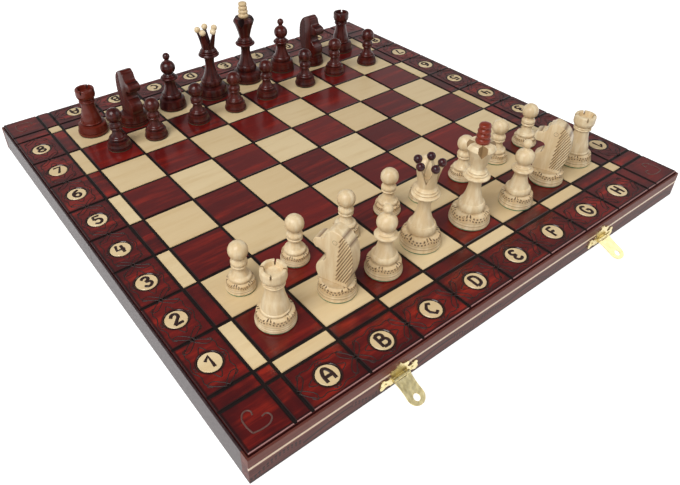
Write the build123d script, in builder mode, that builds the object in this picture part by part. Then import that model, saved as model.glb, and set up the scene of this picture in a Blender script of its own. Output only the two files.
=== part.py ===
from build123d import *
import os
from math import acos, asin, cos, degrees, pi, radians, sin, sqrt, tan

os.makedirs("parts", exist_ok=True)

# A chess box that opens flat into a board, with its thirty-two men set up on it.
# Millimetres. The origin is in the middle of the open board, on the table.
# +X runs from file A to file H, +Y from White to Black, +Z up.
# The front half is White's (y < 0); the rear half folds down and under it.

# ---------------------------------------------------------------- board
square = 53.5                # side of one playing square
strip = 15.0                 # narrow chequered strip round the playing squares
band = 41.0                  # outer band that carries letters and digits
groove = 2.6                 # width of the burnt groove between two tiles
tile_thickness = 0.8
tile_chamfer = 0.45
disc_radius = 9.4            # pale disc behind a letter or digit
disc_ring = 0.9              # width of the burnt ring round a disc
panel_thickness = 4.0
fold_gap = 0.4               # between the two halves when the board is flat
rim_gap = 0.3                # between the two rims when the box is shut

# ---------------------------------------------------------------- tray under each half
rail_height = 25.2
rail_thickness = 9.0
edge_inset = 2.4             # how far the panel edge stands in from the rail face
lip_thickness = 1.6          # lip of the rails round the panel
lip_height = 2.2
lip_chamfer = 0.5
stripe_height = 2.4          # pale inlay along the long rails
stripe_depth = 0.8
stripe_middle = 16.8         # above the rim
divider_thickness = 4.0
divider_height = 18.0
divider_joint = 0.1          # end play of a short divider between its neighbours
divider_columns = 4          # compartments side by side in one tray
lining_thickness = 1.0
lining_clearance = 0.3       # felt to the wall beside it

# ---------------------------------------------------------------- fold hinges
hinge_spacing = 300.0        # between the middles of the two hinges
hinge_length = 40.0
knuckle_count = 5
knuckle_radius = 1.25
knuckle_gap = 0.3            # end to end, and round the barrel
pin_radius = 0.6
pin_clearance = 0.05
leaf_width = 8.0
leaf_thickness = 1.0
hinge_screw_spacing = 14.0
screw_shank_radius = 0.9
screw_length = 8.0
screw_clearance = 0.05
sunk_head_radius = 1.7
sunk_head_height = 0.8

# ---------------------------------------------------------------- latches
latch_file = 2.5             # squares from the middle of the board to each latch
plate_half_width = 20.0
plate_bottom = 4.0
plate_top = 24.6
plate_thickness = 1.0
latch_axis_height = 10.5     # hasp hinge above the rim
latch_knuckle_radius = 1.7
latch_pin_radius = 0.6
centre_knuckle_length = 8.0
hasp_half_width = 8.4
hasp_waist = 0.7             # how much the hasp narrows on each side
hasp_thickness = 0.9
hasp_hole_radius = 3.0
hasp_end = 6.4               # from the hole's middle to the tip
hasp_lay_gap = 0.2           # between the tip and the table
keeper_height = 8.0          # knob above the rim of the rear half
keeper_half_width = 13.0
keeper_half_height = 5.0
keeper_thickness = 0.8
knob_neck_radius = 1.5
knob_head_radius = 2.2
knob_length = 4.8
knob_head_height = 0.9
latch_screw_offset = 13.8
latch_screw_height = 8.6
keeper_screw_offset = 9.0
round_head_radius = 1.7
round_head_height = 0.9

# ---------------------------------------------------------------- men
felt_thickness = 1.0
felt_inset = 0.9             # felt pad inside the edge of the base
foot_round = 0.9             # roundness of a turned base
step = 0.8                   # height of a small turned step
fit = 0.05                   # round a ball or a spigot in its seat

pawn_base_radius = 13.2
pawn_foot_height = 6.0
pawn_shoulder_radius = 9.8
pawn_shoulder_height = 10.5
pawn_neck_radius = 4.7
pawn_neck_height = 23.4
pawn_collar_radius = 7.2
pawn_collar_height = 9.2
pawn_ball_radius = 8.6
pawn_ball_seat = 5.2         # radius where the ball meets the collar

rook_base_radius = 17.0
rook_foot_height = 7.0
rook_shoulder_radius = 12.8
rook_shoulder_height = 13.0
rook_trunk_radius = 11.2
rook_neck_radius = 7.2
rook_neck_height = 39.5
rook_cup_radius = 8.6
rook_rim_radius = 10.7
rook_flare_height = 9.0
rook_rim_height = 5.6
rook_dish_radius = 7.4
rook_dish_depth = 4.5
rook_slit_width = 1.5
rook_slit_depth = 3.9
rook_slits = 4

bishop_base_radius = 16.6
bishop_foot_height = 7.0
bishop_shoulder_radius = 12.6
bishop_shoulder_height = 13.4
bishop_bell_radius = 11.8
bishop_neck_radius = 6.2
bishop_neck_height = 33.0
bishop_collar_radius = 10.2
bishop_collar_rise = 6.4     # from the neck to the collar's edge
bishop_collar_edge = 2.2
bishop_bulb_neck_radius = 3.8
bishop_bulb_neck_height = 45.6
bishop_bulb_radius = 8.9
bishop_bulb_height = 7.9     # from the bulb's neck to its widest place
bishop_tip_radius = 2.4
bishop_tip_rise = 9.3        # from the widest place to the tip's neck
bishop_ball_radius = 4.3

knight_base_radius = 17.0
knight_foot_height = 7.0
knight_plinth_radius = 13.6
knight_plinth_height = 13.6
knight_head_height = 67.5
knight_head_thickness = 14.0
knight_chest = 16.8          # reach of the chest in front of the axis
knight_muzzle = 19.5         # reach of the muzzle in front of the axis
knight_back = 16.6           # reach of the mane behind the axis
knight_turn_white = 112.0    # heading of the white knights, from +X
knight_turn_black = 273.0

queen_base_radius = 19.0
queen_foot_height = 7.5
queen_shoulder_radius = 13.6
queen_shoulder_height = 14.5
queen_bell_radius = 12.8
queen_neck_radius = 5.6
queen_neck_height = 43.0
queen_collar_radius = 12.8
queen_collar_low = 53.6
queen_collar_height = 5.6
queen_cup_foot_radius = 8.0
queen_cup_foot_height = 64.0
queen_cup_radius = 12.0
queen_cup_height = 83.4
queen_cup_wall = 2.7
queen_cup_floor = 66.4
queen_points = 5
queen_notch_floor = 68.0
queen_notch_half_angle = 19.0
queen_ball_radius = 3.8
queen_ball_ring = 10.7
queen_ball_rise = 2.6         # from the cup's edge to the balls' middles

king_base_radius = 19.3
king_foot_height = 7.5
king_shoulder_radius = 13.6
king_shoulder_height = 14.5
king_bell_radius = 12.2
king_neck_radius = 5.8
king_neck_height = 42.0
king_collar_radius = 12.5
king_collar_low = 49.8
king_collar_height = 5.6
king_crown_foot_radius = 7.0
king_crown_foot_height = 60.4
king_crown_radius = 13.4
king_crown_height = 81.0
king_crown_lip = 4.5         # from the widest edge up to the flat top
king_table_radius = 11.2     # flat top of the crown
king_notches = 4
king_notch_depth = 8.0       # down the flared side from the widest edge
king_notch_half_width = 4.6
king_notch_reach = 6.8       # from the axis to the notch's inner end
finial_radius = 6.4
finial_top_radius = 5.0
finial_height = 19.5
finial_rings = 4
finial_ring_depth = 1.0
spigot_radius = 2.5
spigot_length = 6.0

# How far each man stands from the middle of its square, (x, y).
stands_off = {
    "white_rook_a1": (1, 5), "white_knight_b1": (7, 1), "white_bishop_c1": (1, -4),
    "white_queen_d1": (-1, 3), "white_king_e1": (6, -2), "white_bishop_f1": (10, -11),
    "white_knight_g1": (13, -5), "white_rook_h1": (13, -2),
    "white_pawn_a2": (-1, 0), "white_pawn_b2": (2, 0), "white_pawn_c2": (6, 0),
    "white_pawn_d2": (7, 2), "white_pawn_e2": (-4, -3), "white_pawn_f2": (1, -2),
    "white_pawn_g2": (1, -2), "white_pawn_h2": (0, 0),
    "black_rook_a8": (0, 1), "black_knight_b8": (-6, -6), "black_bishop_c8": (-5, -1),
    "black_queen_d8": (-3, -3), "black_king_e8": (2, 6), "black_bishop_f8": (4, 5),
    "black_knight_g8": (-6, -4), "black_rook_h8": (1, 5),
    "black_pawn_a7": (10, 4), "black_pawn_b7": (0, 0), "black_pawn_c7": (3, 2),
    "black_pawn_d7": (0, 0), "black_pawn_e7": (-4, 4), "black_pawn_f7": (1, 1),
    "black_pawn_g7": (-1, 4), "black_pawn_h7": (1, 1),
}

# ---------------------------------------------------------------- worked out from the above
files = 8
ranks_per_half = 4
board_length = files * square + 2 * (strip + band)
half_depth = ranks_per_half * square + strip + band
panel_top = rail_height + panel_thickness
board_top = panel_top + tile_thickness
fold_axis_z = -rim_gap / 2
inner_length = board_length - 2 * rail_thickness
inner_near = rail_thickness                    # distance of the tray's inside from the fold
inner_far = half_depth - rail_thickness
latch_x = latch_file * square
latch_axis_out = plate_thickness + latch_knuckle_radius + knuckle_gap
hasp_hole_drop = latch_axis_height + rim_gap + keeper_height
hasp_length = hasp_hole_drop + hasp_end
hasp_rest_angle = degrees(acos(
    (latch_axis_height - hasp_lay_gap - hasp_thickness / 2) / hasp_length))
hinge_places = (-hinge_spacing / 2, hinge_spacing / 2)
latch_places = (-latch_x, latch_x)
front, rear = -1, 1                            # which way each half lies from the fold


def save(builder, name):
    """Label a finished piece and write it."""
    builder.part.label = name
    export_step(builder.part, f"parts/{name}.step")


def tile_spans(widths, start, first_inset, last_inset):
    """Low and high edge of every tile in a row of cells."""
    edges = [start]
    for width in widths:
        edges.append(edges[-1] + width)
    lows = [start + first_inset] + [edge + groove / 2 for edge in edges[1:-1]]
    highs = [edge - groove / 2 for edge in edges[1:-1]] + [edges[-1] - last_inset]
    return list(zip(lows, highs))


columns = tile_spans(
    [band, strip] + [square] * files + [strip, band], -board_length / 2, edge_inset, edge_inset)
rows = tile_spans([square] * ranks_per_half + [strip, band], 0, groove / 2, edge_inset)
last_column = len(columns) - 1
last_row = len(rows) - 1


def in_band(column, row):
    return column in (0, last_column) or row == last_row


def is_pale(column, row, side):
    """The chequer runs on from the squares into the narrow strip."""
    rank = row if side == rear else -1 - row
    return not in_band(column, row) and (column + rank) % 2 == 1


def cell_middle(column, row, side):
    x = -board_length / 2 + band / 2
    if column == last_column:
        x = -x
    elif column > 0:
        x = (column - 2 + 0.5 - files / 2) * square
    y = half_depth - band / 2 if row == last_row else (row + 0.5) * square
    return (x, side * y)


def disc_cells(side):
    """Cells of the outer band that carry a letter or a digit."""
    lettered = [(column, last_row) for column in range(2, last_column - 1)]
    numbered = [(column, row) for column in (0, last_column) for row in range(ranks_per_half)]
    return [cell_middle(column, row, side) for column, row in lettered + numbered]


# ---------------------------------------------------------------- top of one half
def make_panel(name, side):
    depth = half_depth - edge_inset - fold_gap / 2
    with BuildPart() as panel:
        with BuildSketch(Plane.XY.offset(rail_height)):
            with Locations((0, side * (fold_gap / 2 + depth / 2))):
                Rectangle(board_length - 2 * edge_inset, depth)
        extrude(amount=panel_thickness)
    save(panel, name)


def make_tiles(name, side, pale):
    with BuildPart() as tiles:
        with BuildSketch(Plane.XY.offset(panel_top)):
            for column, (left, right) in enumerate(columns):
                for row, (near, far) in enumerate(rows):
                    if is_pale(column, row, side) == pale:
                        with Locations(((left + right) / 2, side * (near + far) / 2)):
                            Rectangle(right - left, far - near)
            with Locations(*disc_cells(side)):
                if pale:
                    Circle(disc_radius)
                else:
                    Circle(disc_radius + disc_ring, mode=Mode.SUBTRACT)
        extrude(amount=tile_thickness)
        chamfer(tiles.faces().group_by(Axis.Z)[-1].edges(), tile_chamfer)
    save(tiles, name)


# ---------------------------------------------------------------- tray of one half
def outer_face(side):
    """Plane on the outside of a long rail, its first axis along X, its second up."""
    return Plane(origin=(0, side * half_depth, 0), x_dir=(-side, 0, 0), z_dir=(0, side, 0))


def screw_holes(side, places):
    """Pilot holes in the outside of a long rail; places are (x, height)."""
    with BuildSketch(outer_face(side)) as holes:
        with Locations(*[(-side * x, height) for x, height in places]):
            Circle(screw_shank_radius + screw_clearance)
    extrude(holes.sketch, amount=-screw_length, mode=Mode.SUBTRACT)


def make_long_rail(name, side, screw_places):
    middle = half_depth - rail_thickness / 2
    with BuildPart() as rail:
        with BuildSketch(Plane.XY):
            with Locations((0, side * middle)):
                Rectangle(board_length, rail_thickness)
        extrude(amount=rail_height)
        with BuildSketch(Plane.XY.offset(rail_height)):
            with Locations((0, side * middle)):
                Rectangle(board_length, rail_thickness)
            with Locations((0, side * (middle - lip_thickness))):
                Rectangle(board_length - 2 * lip_thickness, rail_thickness, mode=Mode.SUBTRACT)
        extrude(amount=lip_height)
        lip_edges = rail.edges().filter_by(Axis.X).group_by(Axis.Z)[-1].sort_by(Axis.Y)
        chamfer(lip_edges[0 if side == front else -1], lip_chamfer)
        with BuildSketch(outer_face(side)):
            with Locations((0, stripe_middle)):
                Rectangle(board_length, stripe_height)
        extrude(amount=-stripe_depth, mode=Mode.SUBTRACT)
        screw_holes(side, screw_places)
    save(rail, name)


def make_stripe(name, side, screw_places):
    with BuildPart() as stripe:
        with BuildSketch(outer_face(side)):
            with Locations((0, stripe_middle)):
                Rectangle(board_length, stripe_height)
        extrude(amount=-stripe_depth)
        screw_holes(side, screw_places)
    save(stripe, name)


def make_end_rails(name, side):
    length = half_depth - 2 * rail_thickness
    with BuildPart() as rails:
        with BuildSketch(Plane.XY):
            with Locations((0, side * half_depth / 2)):
                with GridLocations(board_length - rail_thickness, 0, 2, 1):
                    Rectangle(rail_thickness, length)
        extrude(amount=rail_height)
        with BuildSketch(Plane.XY.offset(rail_height)):
            with Locations((0, side * half_depth / 2)):
                with GridLocations(board_length - lip_thickness, 0, 2, 1):
                    Rectangle(lip_thickness, length)
        extrude(amount=lip_height)
        top_edges = rails.edges().filter_by(Axis.Y).group_by(Axis.Z)[-1].sort_by(Axis.X)
        chamfer([top_edges[0], top_edges[-1]], lip_chamfer)
    save(rails, name)


def hinge_screw_places(side):
    middle = (knuckle_radius + knuckle_gap + leaf_width) / 2
    return [(x + shift, side * middle)
            for x in hinge_places for shift in (-hinge_screw_spacing / 2, hinge_screw_spacing / 2)]


def make_hinge_rail(name, side):
    width = rail_thickness - fold_gap / 2
    with BuildPart() as rail:
        with BuildSketch(Plane.XY):
            with Locations((0, side * (fold_gap / 2 + width / 2))):
                Rectangle(board_length, width)
        extrude(amount=rail_height)
        with BuildSketch(Plane.XY.offset(rail_height)):
            with Locations((0, side * (fold_gap / 2 + width / 2))):
                with GridLocations(board_length - lip_thickness, 0, 2, 1):
                    Rectangle(lip_thickness, width)
        extrude(amount=lip_height)
        for x in hinge_places:
            # round relief for the barrel, and the flat recess for the leaf
            with BuildSketch(Plane.YZ.offset(x - hinge_length / 2 - knuckle_gap)):
                with Locations((0, fold_axis_z)):
                    Circle(knuckle_radius + knuckle_gap)
                with Locations((side * (leaf_width + knuckle_gap) / 2, leaf_thickness / 2)):
                    Rectangle(leaf_width + knuckle_gap, leaf_thickness)
            extrude(amount=hinge_length + 2 * knuckle_gap, mode=Mode.SUBTRACT)
        with BuildSketch(Plane.XY):
            with Locations(*hinge_screw_places(side)):
                Circle(screw_shank_radius + screw_clearance)
        extrude(amount=screw_length, mode=Mode.SUBTRACT)
    save(rail, name)


cell_length = (inner_length - (divider_columns - 1) * divider_thickness) / divider_columns
cell_depth = (inner_far - inner_near - divider_thickness) / 2


def make_dividers(name, side):
    """One divider along the tray and short ones across it, glued under the panel."""
    with BuildPart() as dividers:
        with BuildSketch(Plane.XY.offset(rail_height - divider_height)):
            with Locations((0, side * half_depth / 2)):
                Rectangle(inner_length, divider_thickness)
                if divider_columns > 1:
                    with GridLocations(cell_length + divider_thickness,
                                       cell_depth + divider_thickness, divider_columns - 1, 2):
                        Rectangle(divider_thickness, cell_depth - 2 * divider_joint)
        extrude(amount=divider_height)
    save(dividers, name)


def make_lining(name, side):
    """Felt on the floor of every compartment."""
    with BuildPart() as lining:
        with BuildSketch(Plane.XY.offset(rail_height - lining_thickness)):
            with Locations((0, side * half_depth / 2)):
                with GridLocations(cell_length + divider_thickness,
                                   cell_depth + divider_thickness, divider_columns, 2):
                    Rectangle(cell_length - 2 * lining_clearance, cell_depth - 2 * lining_clearance)
        extrude(amount=lining_thickness)
    save(lining, name)


# ---------------------------------------------------------------- fold hinges
knuckle_pitch = hinge_length / knuckle_count


def make_hinge_leaves(name, side):
    """The leaves of one half; the front ones carry the first, third and fifth knuckle."""
    own = [k for k in range(knuckle_count) if (k % 2 == 0) == (side == front)]
    plate_near = knuckle_radius + knuckle_gap
    with BuildPart() as leaves:
        for x in hinge_places:
            with BuildSketch(Plane.XY):
                with Locations((x, side * (plate_near + leaf_width) / 2)):
                    Rectangle(hinge_length, leaf_width - plate_near)
            extrude(amount=leaf_thickness)
            for k in own:
                low = x - hinge_length / 2 + k * knuckle_pitch + knuckle_gap / 2
                with BuildSketch(Plane.YZ.offset(low)):
                    with Locations((0, fold_axis_z)):
                        Circle(knuckle_radius)
                    with Locations((side * (plate_near + leaf_thickness) / 2, leaf_thickness / 2)):
                        Rectangle(plate_near + leaf_thickness, leaf_thickness)
                    with Locations((0, fold_axis_z)):
                        Circle(pin_radius + pin_clearance, mode=Mode.SUBTRACT)
                extrude(amount=knuckle_pitch - knuckle_gap)
        with Locations(*[Location((x, y, 0), (180, 0, 0)) for x, y in hinge_screw_places(side)]):
            CounterSinkHole(screw_shank_radius + screw_clearance, sunk_head_radius + screw_clearance)
    save(leaves, name)


def make_hinge_pins(name):
    with BuildPart() as pins:
        for x in hinge_places:
            with BuildSketch(Plane.YZ.offset(x - hinge_length / 2)):
                with Locations((0, fold_axis_z)):
                    Circle(pin_radius)
            extrude(amount=hinge_length)
    save(pins, name)


# ---------------------------------------------------------------- screws
def screw_plane(origin, inward):
    """Plane through a screw's axis: across it, then inward along it."""
    return Plane(origin=origin, x_dir=(1, 0, 0), z_dir=Vector(1, 0, 0).cross(Vector(*inward)))


def sunk_screw(head, inward):
    """Countersunk screw, head's middle at head, pointing inward."""
    with BuildSketch(screw_plane(head, inward)) as half:
        with BuildLine():
            Polyline((0, 0), (sunk_head_radius, 0), (screw_shank_radius, sunk_head_height),
                     (screw_shank_radius, screw_length - screw_shank_radius), (0, screw_length),
                     close=True)
        make_face()
    revolve(half.sketch, axis=Axis(head, inward))


def round_screw(seat, inward):
    """Round-headed screw, the underside of its head at seat, pointing inward."""
    with BuildSketch(screw_plane(seat, inward)) as half:
        with BuildLine():
            half_way = round_head_radius / sqrt(2)
            ThreePointArc((0, -round_head_height), (half_way, -round_head_height * 0.72),
                          (round_head_radius, 0))
            Polyline((round_head_radius, 0), (screw_shank_radius, 0),
                     (screw_shank_radius, screw_length - plate_thickness - screw_shank_radius),
                     (0, screw_length - plate_thickness), (0, -round_head_height))
        make_face()
    revolve(half.sketch, axis=Axis(seat, inward))


latch_screws = [(x + shift, latch_screw_height)
                for x in latch_places for shift in (-latch_screw_offset, latch_screw_offset)]
keeper_screws = [(x + shift, keeper_height)
                 for x in latch_places for shift in (-keeper_screw_offset, keeper_screw_offset)]


def make_screws(name, side, round_places, seat_thickness):
    """All screws of one half: countersunk in the hinge leaf, round-headed on the long rail."""
    with BuildPart() as screws:
        for x, y in hinge_screw_places(side):
            sunk_screw((x, y, 0), (0, 0, 1))
        for x, height in round_places:
            round_screw((x, side * (half_depth + seat_thickness), height), (0, -side, 0))
    save(screws, name)


# ---------------------------------------------------------------- latches
def scalloped_half(width, low, high):
    """Right half of the latch plate's outline, drawn between its bottom and its peak."""
    def point(across, up):
        return (width * across, low + (high - low) * up)
    Line(point(0, 0), point(0.45, 0))
    ThreePointArc(point(0.45, 0), point(0.64, 0.08), point(0.80, 0.01))
    ThreePointArc(point(0.80, 0.01), point(0.99, 0.12), point(0.92, 0.27))
    ThreePointArc(point(0.92, 0.27), point(0.93, 0.45), point(0.77, 0.50))
    ThreePointArc(point(0.77, 0.50), point(0.55, 0.40), point(0.40, 0.54))
    ThreePointArc(point(0.40, 0.54), point(0.48, 0.69), point(0.34, 0.78))
    ThreePointArc(point(0.34, 0.78), point(0.15, 0.82), point(0, 1))
    Line(point(0, 1), point(0, 0))


def make_latch_plates(name):
    """Scalloped plates on the front rail, each with the middle knuckle of its hasp's hinge."""
    with BuildPart() as plates:
        for x in latch_places:
            with BuildSketch(Plane(origin=(x, -half_depth, 0), x_dir=(1, 0, 0), z_dir=(0, -1, 0))):
                with BuildLine():
                    scalloped_half(plate_half_width, plate_bottom, plate_top)
                make_face()
                mirror(about=Plane.YZ)
            extrude(amount=plate_thickness)
            axis_y = -half_depth - latch_axis_out
            with BuildSketch(Plane.YZ.offset(x - centre_knuckle_length / 2)):
                with Locations((axis_y, latch_axis_height)):
                    Circle(latch_knuckle_radius)
                with Locations((axis_y + latch_axis_out / 2, latch_axis_height)):
                    Rectangle(latch_axis_out, latch_knuckle_radius)
                with Locations((axis_y, latch_axis_height)):
                    Circle(latch_pin_radius + pin_clearance, mode=Mode.SUBTRACT)
            extrude(amount=centre_knuckle_length)
        with BuildSketch(outer_face(front)):
            with Locations(*latch_screws):
                Circle(screw_shank_radius + screw_clearance)
        extrude(amount=plate_thickness, mode=Mode.SUBTRACT)
    save(plates, name)


def hasp_plane(x):
    """Middle plane of a hasp as it rests with its tip on the table: across, then away from the axis."""
    axis = Vector(x, -half_depth - latch_axis_out, latch_axis_height)
    down = Vector(0, 0, -1).rotate(Axis.X, -hasp_rest_angle)
    across = Vector(1, 0, 0)
    return Plane(origin=axis, x_dir=across, z_dir=across.cross(down))


def make_hasp(name, x):
    plane = hasp_plane(x)
    knuckle_length = hasp_half_width - centre_knuckle_length / 2 - knuckle_gap
    notch_half = centre_knuckle_length / 2 + knuckle_gap
    round_radius = hasp_half_width - hasp_waist / 2
    with BuildPart() as hasp:
        with BuildSketch(plane):
            with BuildLine():
                Line((hasp_half_width, 0), (hasp_half_width, latch_knuckle_radius))
                ThreePointArc((hasp_half_width, latch_knuckle_radius),
                              (hasp_half_width - hasp_waist, hasp_length * 0.34),
                              (round_radius, hasp_length - round_radius))
                ThreePointArc((round_radius, hasp_length - round_radius),
                              (0, hasp_length),
                              (-round_radius, hasp_length - round_radius))
                ThreePointArc((-round_radius, hasp_length - round_radius),
                              (hasp_waist - hasp_half_width, hasp_length * 0.34),
                              (-hasp_half_width, latch_knuckle_radius))
                Line((-hasp_half_width, latch_knuckle_radius), (-hasp_half_width, 0))
                Line((-hasp_half_width, 0), (hasp_half_width, 0))
            make_face()
            with Locations((0, hasp_hole_drop)):
                Circle(hasp_hole_radius, mode=Mode.SUBTRACT)
            Rectangle(2 * notch_half, 2 * (latch_knuckle_radius + knuckle_gap), mode=Mode.SUBTRACT)
        extrude(amount=hasp_thickness / 2, both=True)
        for start in (x - hasp_half_width, x + notch_half):
            with BuildSketch(Plane.YZ.offset(start)):
                with Locations((plane.origin.Y, plane.origin.Z)):
                    Circle(latch_knuckle_radius)
            extrude(amount=knuckle_length)
        with BuildSketch(Plane.YZ.offset(x - hasp_half_width)):
            with Locations((plane.origin.Y, plane.origin.Z)):
                Circle(latch_pin_radius + pin_clearance)
        extrude(amount=2 * hasp_half_width, mode=Mode.SUBTRACT)
    save(hasp, name)


def make_latch_pins(name):
    with BuildPart() as pins:
        for x in latch_places:
            with BuildSketch(Plane.YZ.offset(x - hasp_half_width)):
                with Locations((-half_depth - latch_axis_out, latch_axis_height)):
                    Circle(latch_pin_radius)
            extrude(amount=2 * hasp_half_width)
    save(pins, name)


def make_keepers(name):
    """Plates on the rear rail with the knob that goes through the hasp's hole."""
    with BuildPart() as keepers:
        for x in latch_places:
            with BuildSketch(outer_face(rear)):
                with Locations((-x, keeper_height)):
                    Ellipse(keeper_half_width, keeper_half_height)
            extrude(amount=keeper_thickness)
            foot_point = (x, half_depth, keeper_height)
            with BuildSketch(Plane(origin=foot_point, x_dir=(1, 0, 0), z_dir=(0, 0, 1))):
                with BuildLine():
                    Polyline((0, 0), (knob_neck_radius, 0),
                             (knob_neck_radius, knob_length - 2 * knob_head_height),
                             (knob_head_radius, knob_length - 1.5 * knob_head_height),
                             (knob_head_radius, knob_length - 0.5 * knob_head_height),
                             (knob_neck_radius, knob_length), (0, knob_length), close=True)
                make_face()
            revolve(axis=Axis(foot_point, (0, 1, 0)))
        with BuildSketch(outer_face(rear)):
            with Locations(*[(-place_x, height) for place_x, height in keeper_screws]):
                Circle(screw_shank_radius + screw_clearance)
        extrude(amount=keeper_thickness, mode=Mode.SUBTRACT)
    save(keepers, name)


# ---------------------------------------------------------------- turned men
# An outline is a list of (radius, height) points above the square. A pair of points
# stands for an arc through the first to the second.
def turn(stand, outline):
    """Turn an outline round the upright axis of a standing place."""
    with BuildSketch(Plane(origin=stand, x_dir=(1, 0, 0), z_dir=(0, -1, 0))) as half:
        with BuildLine():
            here = outline[0]
            for move in outline[1:]:
                if isinstance(move[0], tuple):
                    ThreePointArc(here, move[0], move[1])
                    here = move[1]
                else:
                    Line(here, move)
                    here = move
            Line(here, outline[0])
        make_face()
    revolve(half.sketch, axis=Axis(stand, (0, 0, 1)))


def felt_pad(stand, base_radius):
    """Felt under the base, a solid of its own."""
    with BuildPart() as pad:
        with BuildSketch(Plane(origin=stand)):
            Circle(base_radius - felt_inset)
        extrude(amount=felt_thickness)
    return pad


def foot_outline(radius, foot_height, shoulder_radius, shoulder_height):
    """Rounded base, then the slope that carries the burnt belt."""
    edge = radius - foot_round / 2
    slope = (shoulder_radius + 0.72 * (edge - shoulder_radius),
             foot_height + 0.6 * (shoulder_height - foot_height))
    return [
        (0, felt_thickness),
        (radius - foot_round, felt_thickness),
        ((radius, (felt_thickness + foot_height) / 2), (edge, foot_height)),
        (slope, (shoulder_radius, shoulder_height)),
    ]


def ogee(low, high):
    """Two arcs from a wide low point to a narrow high one: swelling, then hollow."""
    drop, rise = low[0] - high[0], high[1] - low[1]
    middle = (low[0] - 0.52 * drop, low[1] + 0.46 * rise)
    return [
        ((low[0] - 0.13 * drop, low[1] + 0.25 * rise), middle),
        ((high[0] + 0.16 * drop, high[1] - 0.28 * rise), high),
    ]


def bead(radius, low, high, root):
    """A rounded ring between two heights, standing out from a root radius."""
    return [
        (root, low),
        ((radius, (low + high) / 2), (root, high)),
    ]


def ball_outline(seat_radius, ball_radius, seat_height):
    """The ball that sits at a height with a given radius there, up to its top."""
    middle = seat_height + sqrt(ball_radius ** 2 - seat_radius ** 2)
    return [((ball_radius, middle), (0, middle + ball_radius))]


def cap_outline(radius, low, top):
    """A round cap over a given radius, level at its top."""
    rise = top - low
    bend = (radius ** 2 + rise ** 2) / (2 * rise)
    half_turn = asin(radius / bend) / 2 if rise < bend else (pi - asin(radius / bend)) / 2
    return [((bend * sin(half_turn), top - bend + bend * cos(half_turn)), (0, top))]


def make_pawn(name, stand):
    outline = foot_outline(
        pawn_base_radius, pawn_foot_height, pawn_shoulder_radius, pawn_shoulder_height)
    outline += ogee((pawn_shoulder_radius, pawn_shoulder_height),
                    (pawn_neck_radius, pawn_neck_height))
    collar_top = pawn_neck_height + pawn_collar_height
    outline += bead(pawn_collar_radius, pawn_neck_height + step / 2, collar_top, pawn_ball_seat)
    seat_height = collar_top + step
    outline += [(pawn_ball_seat, seat_height)]
    outline += ball_outline(pawn_ball_seat, pawn_ball_radius, seat_height)
    with BuildPart() as wood:
        turn(stand, outline)
    finish_man(name, stand, pawn_base_radius, wood)


def make_rook(name, stand):
    cup_low = rook_neck_height + 2 * step
    rim_low = cup_low + rook_flare_height
    rim_top = rim_low + rook_rim_height
    outline = foot_outline(
        rook_base_radius, rook_foot_height, rook_shoulder_radius, rook_shoulder_height)
    outline += bead(rook_trunk_radius + 0.8 * step, rook_shoulder_height,
                    rook_shoulder_height + 2 * step, rook_trunk_radius)
    outline += ogee((rook_trunk_radius, rook_shoulder_height + 2 * step),
                    (rook_neck_radius, rook_neck_height))
    outline += bead(rook_cup_radius, rook_neck_height, cup_low, rook_neck_radius + step)
    outline += [
        ((rook_cup_radius + 0.55 * (rook_rim_radius - rook_cup_radius),
          cup_low + 0.34 * rook_flare_height), (rook_rim_radius, rim_low)),
        (rook_rim_radius, rim_top),
        (rook_dish_radius, rim_top),
        (rook_dish_radius - step, rim_top - rook_dish_depth),
        (0, rim_top - rook_dish_depth),
    ]
    with BuildPart() as wood:
        turn(stand, outline)
        with BuildSketch(Plane(origin=stand).offset(rim_top - rook_slit_depth)):
            with PolarLocations((rook_rim_radius + rook_dish_radius) / 2, rook_slits, 45):
                Rectangle(rook_rim_radius, rook_slit_width)
        extrude(amount=rook_slit_depth, mode=Mode.SUBTRACT)
    finish_man(name, stand, rook_base_radius, wood)


def make_bishop(name, stand):
    bell_low = bishop_shoulder_height + step
    collar_edge = bishop_neck_height + bishop_collar_rise
    collar_top = collar_edge + bishop_collar_edge
    bulb_middle = bishop_bulb_neck_height + bishop_bulb_height
    tip_height = bulb_middle + bishop_tip_rise
    outline = foot_outline(
        bishop_base_radius, bishop_foot_height, bishop_shoulder_radius, bishop_shoulder_height)
    outline += [(bishop_bell_radius, bell_low)]
    outline += ogee((bishop_bell_radius, bell_low), (bishop_neck_radius, bishop_neck_height))
    outline += [
        ((bishop_neck_radius + 0.35 * (bishop_collar_radius - bishop_neck_radius),
          bishop_neck_height + 0.62 * bishop_collar_rise),
         (bishop_collar_radius - step / 2, collar_edge)),
        ((bishop_collar_radius, (collar_edge + collar_top) / 2),
         (bishop_collar_radius - step, collar_top)),
        (bishop_bulb_neck_radius + step, bishop_bulb_neck_height - step),
        (bishop_bulb_neck_radius, bishop_bulb_neck_height),
        ((bishop_bulb_radius * 0.86, bulb_middle - 0.52 * bishop_bulb_height),
         (bishop_bulb_radius, bulb_middle)),
        ((bishop_bulb_radius * 0.80, bulb_middle + 0.40 * bishop_tip_rise),
         (bishop_tip_radius, tip_height)),
    ]
    outline += ball_outline(bishop_tip_radius, bishop_ball_radius, tip_height)
    with BuildPart() as wood:
        turn(stand, outline)
    finish_man(name, stand, bishop_base_radius, wood)


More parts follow.
